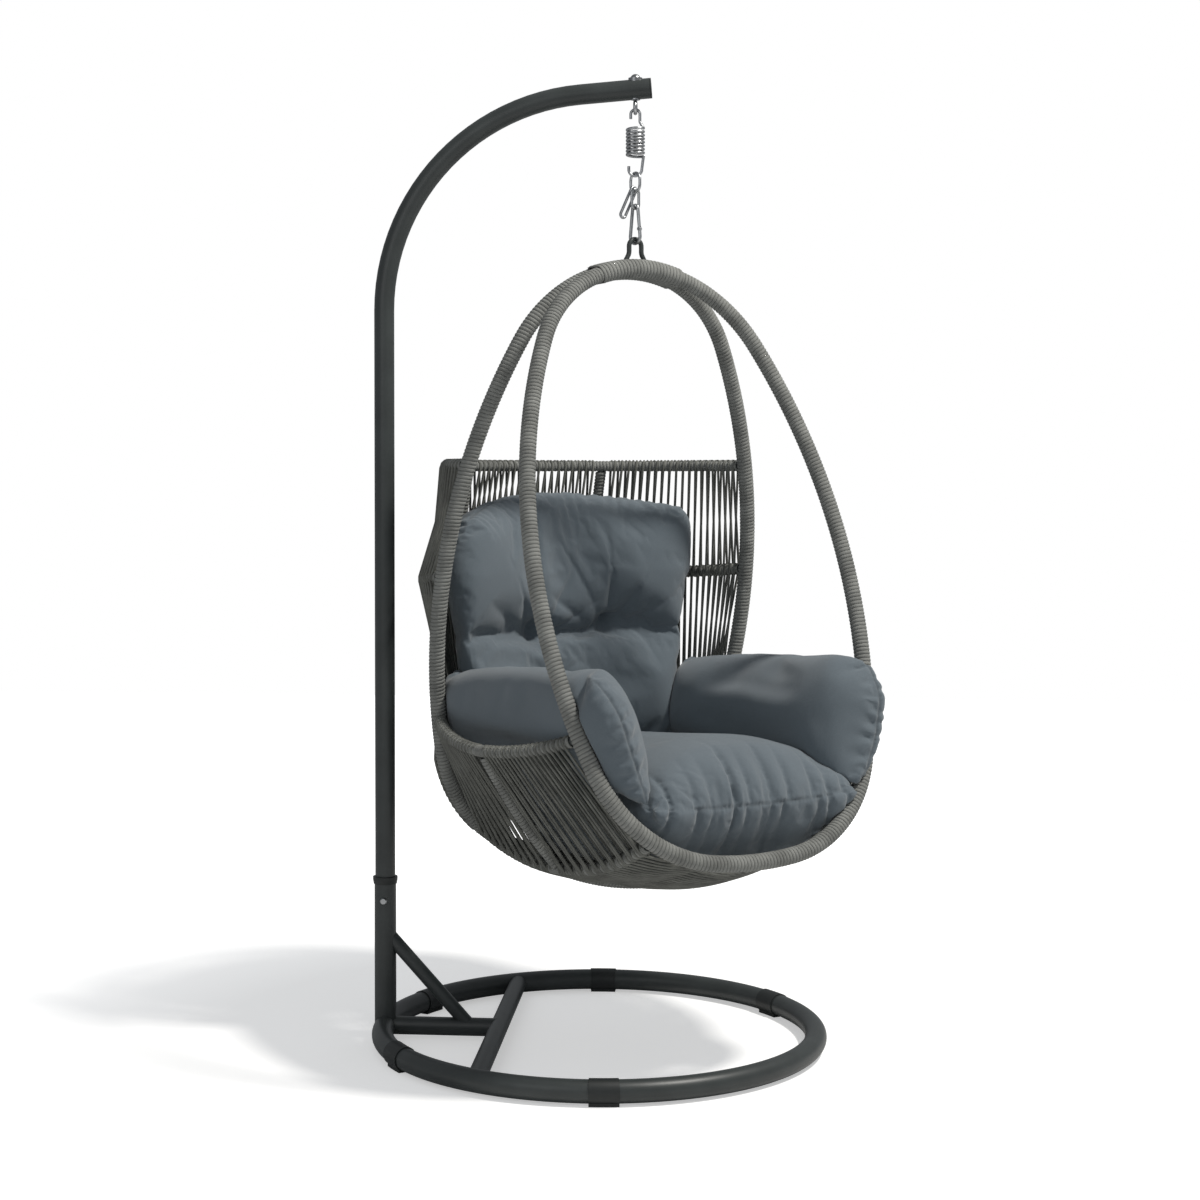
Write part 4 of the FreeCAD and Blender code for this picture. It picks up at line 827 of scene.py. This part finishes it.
def tube_form(name, shape, along=90, around=96):
    """Closed form between two end seams. Shape gives a point for a share along, and a wide and a thin share."""
    points = []
    for row in range(along + 1):
        share = math.sin(math.pi / 2 * (2 * row / along - 1))
        for step in range(around):
            angle = 2 * math.pi * step / around
            points.append(shape(share, power(math.cos(angle), 0.75), power(math.sin(angle), 0.8)))
    faces = []
    for row in range(along):
        for step in range(around):
            ahead = (step + 1) % around
            a, b = row * around, (row + 1) * around
            faces.append((a + step, a + ahead, b + ahead, b + step))
    faces.append(tuple(reversed(range(around))))
    faces.append(tuple(range(along * around, (along + 1) * around)))
    mesh = bpy.data.meshes.new(name)
    mesh.from_pydata([place(p) for p in points], [], faces)
    obj = bpy.data.objects.new(name, mesh)
    bpy.context.scene.collection.objects.link(obj)
    only(obj)
    bpy.ops.object.mode_set(mode="EDIT")
    bpy.ops.mesh.select_all(action="SELECT")
    bpy.ops.mesh.normals_make_consistent(inside=False)
    bpy.ops.object.mode_set(mode="OBJECT")
    return obj


# %% Places along a seam
def nearest_on(lines):
    """Finder of the nearest point on some polylines, with its place along them and its distance."""
    tree = KDTree(sum(len(line) for line in lines))
    runs = []
    for line in lines:
        gone = 0.0
        for number, point in enumerate(line):
            if number:
                gone += (point - line[number - 1]).length
            tree.insert(point, len(runs))
            runs.append(gone)
    tree.balance()

    def find(point):
        spot, index, distance = tree.find(point)
        return spot, runs[index], distance

    return find


def fine_line(points, step=2.0):
    """A polyline through points, with a point every couple of millimetres."""
    line = []
    for a, b in zip(points, points[1:]):
        count = max(1, round((b - a).length / step))
        line += [a.lerp(b, n / count) for n in range(count)]
    return line + [points[-1]]


def gathers(run, seed, pitch):
    """Height of the gathers at a place along a seam: round ridges between sharp creases, no two alike."""
    slow = noise.noise(Vector((run / 70.0, seed, 0.0)))
    quick = noise.noise(Vector((run / 19.0, seed, 4.0)))
    phase = (run + 46.0 * slow + 7.0 * quick) / pitch
    ridge = abs(math.sin(math.pi * phase)) ** 0.5
    crease = math.floor(phase + 0.5)
    size = 0.55 + 1.5 * abs(noise.noise(Vector((crease * 1.37, seed, 8.0))))
    return (ridge - 0.8) * size * 1.5


# %% Gathered, blown up and calmed
CLOTH_CELL = 6.5
CLOTH_FRAMES = 12
CLOTH_REACH = 24.0
CALM_FROM = 28.0


def gathered(form, find, gather, up_side, tufts, folds):
    """Pushes gathers, tufts and folds into a form, and gives how firmly each point is then held."""
    height, reach, pitch, seed = gather
    mesh = form.data
    held = []
    moved = []
    for vertex in mesh.vertices:
        point = unplace(vertex.co)
        normal = vertex.normal
        spot, run, distance = find(point)
        above = 1.0 if (point - spot).dot(up_side) > 0 else 0.0
        far = reach * (1.0 + 0.35 * noise.noise(Vector((run / 40.0, seed, 15.0)))) * (0.7 + 0.3 * above)
        fade = min(distance / 9.0, 1.0) * math.exp(-(distance / far) ** 2)
        lift = height * fade * gathers(run, seed + 20.0 * above, pitch)
        pull = 0.0
        for tuft, depth, width in tufts:
            gap = (point - tuft).length
            pull = max(pull, math.exp(-gap / width))
            lift -= depth * math.exp(-gap / width)
        if folds:
            lift += folds(point)
        moved.append(vertex.co + normal * lift * MILLI)
        held.append(max(math.exp(-(distance / 6.0) ** 2), pull ** 3))
    for vertex, spot in zip(mesh.vertices, moved):
        vertex.co = spot
    return held


def blown_up(form, held):
    """Fills a form with air as cloth for a few frames. No point may move further than the cloth's reach."""
    group = form.vertex_groups.new(name="held")
    for vertex, weight in zip(form.data.vertices, held):
        if weight > 0.05:
            group.add([vertex.index], weight, "REPLACE")
    cloth = form.modifiers.new("cloth", "CLOTH")
    settings = cloth.settings
    settings.quality = 4
    settings.mass = 0.25
    settings.tension_stiffness = settings.compression_stiffness = 12.0
    settings.shear_stiffness = 4.0
    settings.bending_stiffness = 0.6
    settings.use_pressure = True
    settings.uniform_pressure_force = 3.0
    settings.shrink_min = -0.05
    settings.vertex_group_mass = "held"
    settings.effector_weights.gravity = 0.0
    cloth.collision_settings.use_collision = False
    cloth.point_cache.frame_start = 1
    cloth.point_cache.frame_end = CLOTH_FRAMES
    before = [vertex.co.copy() for vertex in form.data.vertices]
    for number in range(1, CLOTH_FRAMES + 1):
        bpy.context.scene.frame_set(number)
    apply_modifiers(form)
    bpy.context.scene.frame_set(1)
    furthest = 0.0
    for vertex, start in zip(form.data.vertices, before):
        step = vertex.co - start
        furthest = max(furthest, step.length / MILLI)
        if step.length > CLOTH_REACH * MILLI:
            vertex.co = start + step * (CLOTH_REACH * MILLI / step.length)
    form.vertex_groups.clear()
    print(form.name, "moved up to", round(furthest, 1), "mm")


def calmed(form, find, rounds):
    """Smooths stray wrinkles away from the seams."""
    group = form.vertex_groups.new(name="plain")
    for vertex in form.data.vertices:
        distance = find(unplace(vertex.co))[2]
        group.add([vertex.index], min(max((distance - CALM_FROM) / CALM_FROM, 0.0), 1.0), "REPLACE")
    calm = form.modifiers.new("calm", "SMOOTH")
    calm.factor = 0.6
    calm.iterations = rounds
    calm.vertex_group = "plain"
    apply_modifiers(form)
    form.vertex_groups.clear()


# %% One cushion
SEAM_WIDTH = 3.2
SEAM_DEPTH = 2.6
PUCKER_REACH = 11.0


def seamed(form, find):
    """Draws in the sewn seam, puckers the cloth beside it and marks the groove for the material's painted
    shade.
    """
    painted_groove_shade = form.data.attributes.new("seam", "FLOAT", "POINT")
    moved = []
    for vertex in form.data.vertices:
        spot, run, distance = find(unplace(vertex.co))
        edge = math.exp(-(distance / SEAM_WIDTH) ** 2)
        pucker = math.exp(-(distance / PUCKER_REACH) ** 2) * math.sin(run / 1.4) * 0.35
        # The same mark that sinks the groove carries its painted shade to the material.
        painted_groove_shade.data[vertex.index].value = edge
        moved.append(vertex.co - vertex.normal * (edge * SEAM_DEPTH - pucker) * MILLI)
    for vertex, spot in zip(form.data.vertices, moved):
        vertex.co = spot


def cushion(name, form, seams, gather, up_side, tufts=(), folds=None, rests_on=(), calm=0):
    """Makes a form into a cushion. Gather is (height, reach, pitch, seed); tufts are (point, depth, width)."""
    only(form)
    remesh = form.modifiers.new("cells", "REMESH")
    remesh.mode = "VOXEL"
    remesh.voxel_size = CLOTH_CELL * MILLI
    apply_modifiers(form)
    find = nearest_on([fine_line(line) for line in seams])
    held = gathered(form, find, gather, up_side, tufts, folds)
    blown_up(form, held)
    if calm:
        calmed(form, find, calm)
    dented(form)
    clear_of(form, rests_on)
    smooth = form.modifiers.new("smooth", "SUBSURF")
    smooth.levels = smooth.render_levels = 1
    apply_modifiers(form)
    seamed(form, find)
    only(form)
    bpy.ops.object.shade_smooth()
    print(name, len(form.data.polygons), "faces")
    return form


# %% Seat cushion
SEAT_GATHER = (11.5, 84.0, 46.0, 3.0)
SHOULDER = 592.0


def seat_width(x):
    return between(x, (-275, 184.0), (-160, 216.0), (80, 256.0), (300, 256.0), (360, 254.0), (412, 250.0))


def seat_shift(x):
    """The cushion lies a little nearer the left arm at its front."""
    return between(x, (-100, 0.0), (300, 14.0), (412, 19.0))


def seat_seam_height(y):
    return 553.0 + 9.0 * (y / 250.0) ** 2


def seat_floor(x, across):
    """Lowest height of the seat cushion: it lies in the hollow of the cords and behind the front hoop."""
    middle = between(x, (-275, 418.0), (-150, 408.0), (80, 402.0), (260, 430.0), (380, 462.0), (412, 464.0))
    side = between(x, (-275, 440.0), (80, 436.0), (300, 505.0), (412, 530.0))
    return middle + (side - middle) * abs(across) ** 3.0


def seat_crown(x, across):
    ridge = between(x, (-275, 610.0), (-120, 616.0), (60, 628.0), (230, 645.0), (330, 640.0), (412, 622.0))
    return ridge - (ridge - SHOULDER) * abs(across) ** 3


def seat_shape(share, wide, thin):
    x = 68.0 + 338.0 * share
    end = max(1.0 - abs(share) ** 9, 0.0) ** 0.5
    across = wide * (0.965 + 0.035 * end)
    y = seat_shift(x) + seat_width(x) * across
    seam = seat_seam_height(y)
    if thin >= 0:
        return Vector((x, y, seam + (seat_crown(x, across) - seam) * thin * end + 2.0 * thin))
    forward = 9.0 * max(share, 0.0) ** 6 * math.sin(math.pi * min(-thin, 1.0))
    deep = -abs(thin) ** 0.6
    return Vector((x + forward, y, seam + (seam - seat_floor(x, across)) * deep * end + 2.0 * deep))


def seat_seam(share):
    return [seat_shape(share, math.sin(math.pi / 2 * n / 40), 0.0) for n in range(-40, 41)]


seat = cushion("seat", tube_form("seat", seat_shape), [seat_seam(1.0), seat_seam(-1.0)],
               SEAT_GATHER, UP)
dress(seat, "seat_pillow", "basket", cloth_material, ["seat_cushion"])

# %% Arm cushions
ARM_REAR = -238.0
ARM_FRONT = 402.0
ARM_BEND = 325.0
ARM_CALM = 24


def arm_body(z):
    """Middle across of an arm cushion between the hoops: it leans out against them."""
    return between(z, (560, 234.0), (600, 246.0), (650, 262.0), (700, 276.0), (750, 288.0), (820, 298.0))


def left_seam(z):
    return between(z, (560, 262.0), (600, 292.0), (663, 314.0), (700, 320.0), (747, 327.0), (820, 328.0))


def right_seam(z):
    return between(z, (560, 229.0), (600, 240.0), (663, 264.0), (747, 294.0), (788, 312.0), (820, 330.0))


def arm_shape_for(seam_across):
    def shape(share, wide, thin):
        x = (ARM_REAR + ARM_FRONT) / 2 + (ARM_FRONT - ARM_REAR) / 2 * share
        end = max(1.0 - abs(share) ** 6, 0.0) ** 0.5
        low = between(x, (ARM_REAR, 588.0), (100, 588.0), (330, 576.0), (ARM_FRONT, 558.0))
        high = between(x, (ARM_REAR, 786.0), (0, 806.0), (250, 822.0), (340, 824.0), (ARM_FRONT, 816.0))
        half = (high - low) / 2 * (0.93 + 0.07 * end)
        z = (high + low) / 2 + half * wide
        ahead = max(0.0, (x - ARM_BEND) / (ARM_FRONT - ARM_BEND))
        middle = arm_body(z) + (seam_across(z) - arm_body(z)) * ahead ** 1.3
        middle += between(x, (ARM_REAR, 6.0), (80, 12.0), (ARM_BEND, 0.0))
        thick = between(z, (568, 36.0), (640, 50.0), (760, 53.0), (822, 46.0))
        if share > 0:
            x -= 58.0 * max(0.0, (z - 720.0) / 100.0) ** 2 * share ** 4
        return Vector((x, middle + thin * (thick * end + 2.0), z))
    return shape


ACROSS = Vector((0.0, 1.0, 0.0))
arms = {}
for name, seam_across, side in (("left", left_seam, 1.0), ("right", right_seam, -1.0)):
    shape = arm_shape_for(seam_across)

    def on_side(share, wide, thin):
        point = shape(share, wide, thin)
        return Vector((point.x, side * point.y, point.z))

    def arm_seam(share):
        return [on_side(share, math.sin(math.pi / 2 * n / 30), 0.0) for n in range(-30, 31)]

    arm = cushion(name + " arm", tube_form(name + " arm", on_side), [arm_seam(1.0), arm_seam(-1.0)],
                  (6.5, 46.0, 34.0, 7.0 + side), ACROSS, rests_on=[seat], calm=ARM_CALM)
    dress(arm, name + "_arm_pillow", "basket", cloth_material, [name + "_arm_bolster"])
    arms[name] = arm

# %% Back cushion
BACK_LOW = 606.0
BACK_HIGH = 1149.0
TUFTS_HEIGHT = 852.0
HALF_ACROSS = 262.0
BACK_GATHER = (4.5, 44.0, 32.0, 5.0)
TUFT_SPOTS = ((0.40, -16.0 / 268.0), (-0.30, -30.0 / 268.0))
TUFT_DEPTH = 34.0
TUFT_WIDTH = 26.0


def back_shape(share, wide, thin):
    height = (BACK_LOW + BACK_HIGH) / 2 + (BACK_HIGH - BACK_LOW) / 2 * share
    end = max(1.0 - abs(share) ** 8, 0.0)
    half = between(height, (606, 240.0), (780, 260.0), (860, 264.0), (980, 282.0), (1142, 286.0))
    half *= 0.95 + 0.05 * end
    if wide < 0:
        half *= between(height, (606, 1.10), (950, 1.10), (1100, 1.02))
    face = between(height, (606, -264.0), (780, -303.0), (980, -340.0), (1142, -356.0))
    across = half * wide
    bow = between(height, (606, 98.0), (780, 84.0), (980, 110.0), (1142, 122.0)) * (across / HALF_ACROSS) ** 2
    thick = between(height, (606, 46.0), (780, 44.0), (848, 40.0), (980, 66.0), (1142, 58.0))
    crease = math.exp(-((height - TUFTS_HEIGHT) / 22.0) ** 2)
    if thin > 0:
        thick -= 20.0 * crease
    droop = (30.0 if across > 0 else 50.0) * (across / HALF_ACROSS) ** 2 * max(share, 0.0) ** 3
    lean = math.atan2(240.0 * across / HALF_ACROSS ** 2, 1.0)
    out = thin * (thick * end ** 0.5 + 2.0)
    return Vector((face + bow + out * math.cos(lean), across - out * math.sin(lean), height - droop))


def back_seam(share):
    return [back_shape(share, math.sin(math.pi / 2 * n / 40), 0.0) for n in range(-40, 41)]


TUFTS = [back_shape(share, across, 1.0) for across, share in TUFT_SPOTS]


def back_folds(point):
    """Long folds that fan from the top seam down to the two tufts."""
    if point.x < -400 or point.z < TUFTS_HEIGHT:
        return 0.0
    lift = 0.0
    for tuft in TUFTS:
        rise = point.z - tuft.z
        angle = math.atan2(point.y - tuft.y, rise + 30.0)
        gap = math.hypot(point.y - tuft.y, rise)
        lift += 6.0 * math.exp(-((gap - 95.0) / 80.0) ** 2) * (abs(math.sin(angle * 6.5)) ** 0.6 - 0.6)
    return lift


back = cushion("back", tube_form("back", back_shape), [back_seam(1.0), back_seam(-1.0)], BACK_GATHER,
               Vector((1.0, 0.0, 0.0)), [(tuft, TUFT_DEPTH, TUFT_WIDTH) for tuft in TUFTS], back_folds,
               [seat, arms["left"], arms["right"]])
dress(back, "back_pillow", "basket", cloth_material, ["back_cushion"])

# %% [markdown]
# ## Floor, light and camera
# The chair stands on a plain pale floor in front of white. A small lamp high on the right gives the clear
# light and the shadow on the floor to the left. A large dim lamp in front and a pale sky soften the shade. The
# camera stands about four and a half metres away at chest height.

# %% Floor and world
bpy.ops.mesh.primitive_plane_add(size=14.0, location=(0.0, 0.0, 0.0))
floor = bpy.context.active_object
floor.name = "floor"
floor_material = bpy.data.materials.new("floor")
floor_material.use_nodes = True
tree = floor_material.node_tree
tree.nodes.clear()
path = node(tree, "ShaderNodeLightPath")
straight = maths(tree, "MAXIMUM", path.outputs["Is Camera Ray"], path.outputs["Is Transmission Ray"])
matte = node(tree, "ShaderNodeBsdfDiffuse", {"Color": (0.8, 0.8, 0.8, 1.0)})
spot = node(tree, "ShaderNodeTexCoord").outputs["Object"]
away = node(tree, "ShaderNodeVectorMath", {0: spot}, operation="LENGTH").outputs["Value"]
fade = node(tree, "ShaderNodeMapRange", {"Value": away, "From Min": 0.9, "From Max": 2.6, "To Min": 0.45,
                                        "To Max": 1.0}).outputs["Result"]
glow = node(tree, "ShaderNodeEmission", {"Color": (1.0, 1.0, 1.0, 1.0), "Strength": fade})
both = node(tree, "ShaderNodeAddShader", {0: matte.outputs[0], 1: glow.outputs[0]})
mix = node(tree, "ShaderNodeMixShader", {0: straight, 1: matte.outputs[0], 2: both.outputs[0]})
output = node(tree, "ShaderNodeOutputMaterial", {"Surface": mix.outputs[0]})
floor.data.materials.append(floor_material)

world = bpy.data.worlds.new("studio")
bpy.context.scene.world = world
world.use_nodes = True
tree = world.node_tree
tree.nodes.clear()
path = node(tree, "ShaderNodeLightPath")
straight = maths(tree, "MAXIMUM", path.outputs["Is Camera Ray"], path.outputs["Is Transmission Ray"])
sky = node(tree, "ShaderNodeBackground", {"Color": (0.92, 0.96, 1.0, 1.0), "Strength": 0.30})
white = node(tree, "ShaderNodeBackground", {"Color": (1.0, 1.0, 1.0, 1.0), "Strength": 1.0})
mix = node(tree, "ShaderNodeMixShader", {0: straight, 1: sky.outputs[0], 2: white.outputs[0]})
output = node(tree, "ShaderNodeOutputWorld", {"Surface": mix.outputs[0]})


# %% Lamps
def lamp(name, spot, aim, size, power, colour=(1.0, 1.0, 1.0)):
    data = bpy.data.lights.new(name, "AREA")
    data.shape = "DISK"
    data.size = size
    data.energy = power
    data.color = colour
    obj = bpy.data.objects.new(name, data)
    bpy.context.scene.collection.objects.link(obj)
    obj.location = spot
    obj.rotation_euler = (Vector(aim) - Vector(spot)).to_track_quat("-Z", "Y").to_euler()
    return obj


lamp("key", (2.5, -0.9, 5.0), (0.1, 0.0, 0.9), 0.55, 235.0, (1.0, 0.97, 0.92))
lamp("front", (-1.6, -3.6, 2.4), (0.0, 0.0, 0.9), 2.4, 16.0)

# %% Camera
camera_data = bpy.data.cameras.new("camera")
camera = bpy.data.objects.new("camera", camera_data)
bpy.context.scene.collection.objects.link(camera)
bpy.context.scene.camera = camera
camera.location = (0.2522, -4.4528, 1.1874)
camera.rotation_euler = (math.radians(90 - 1.4318), 0.0, math.radians(5.0538))
camera_data.lens = 64.292
camera_data.shift_x = 0.04
camera_data.shift_y = -0.059
bpy.context.scene.view_settings.view_transform = "Standard"
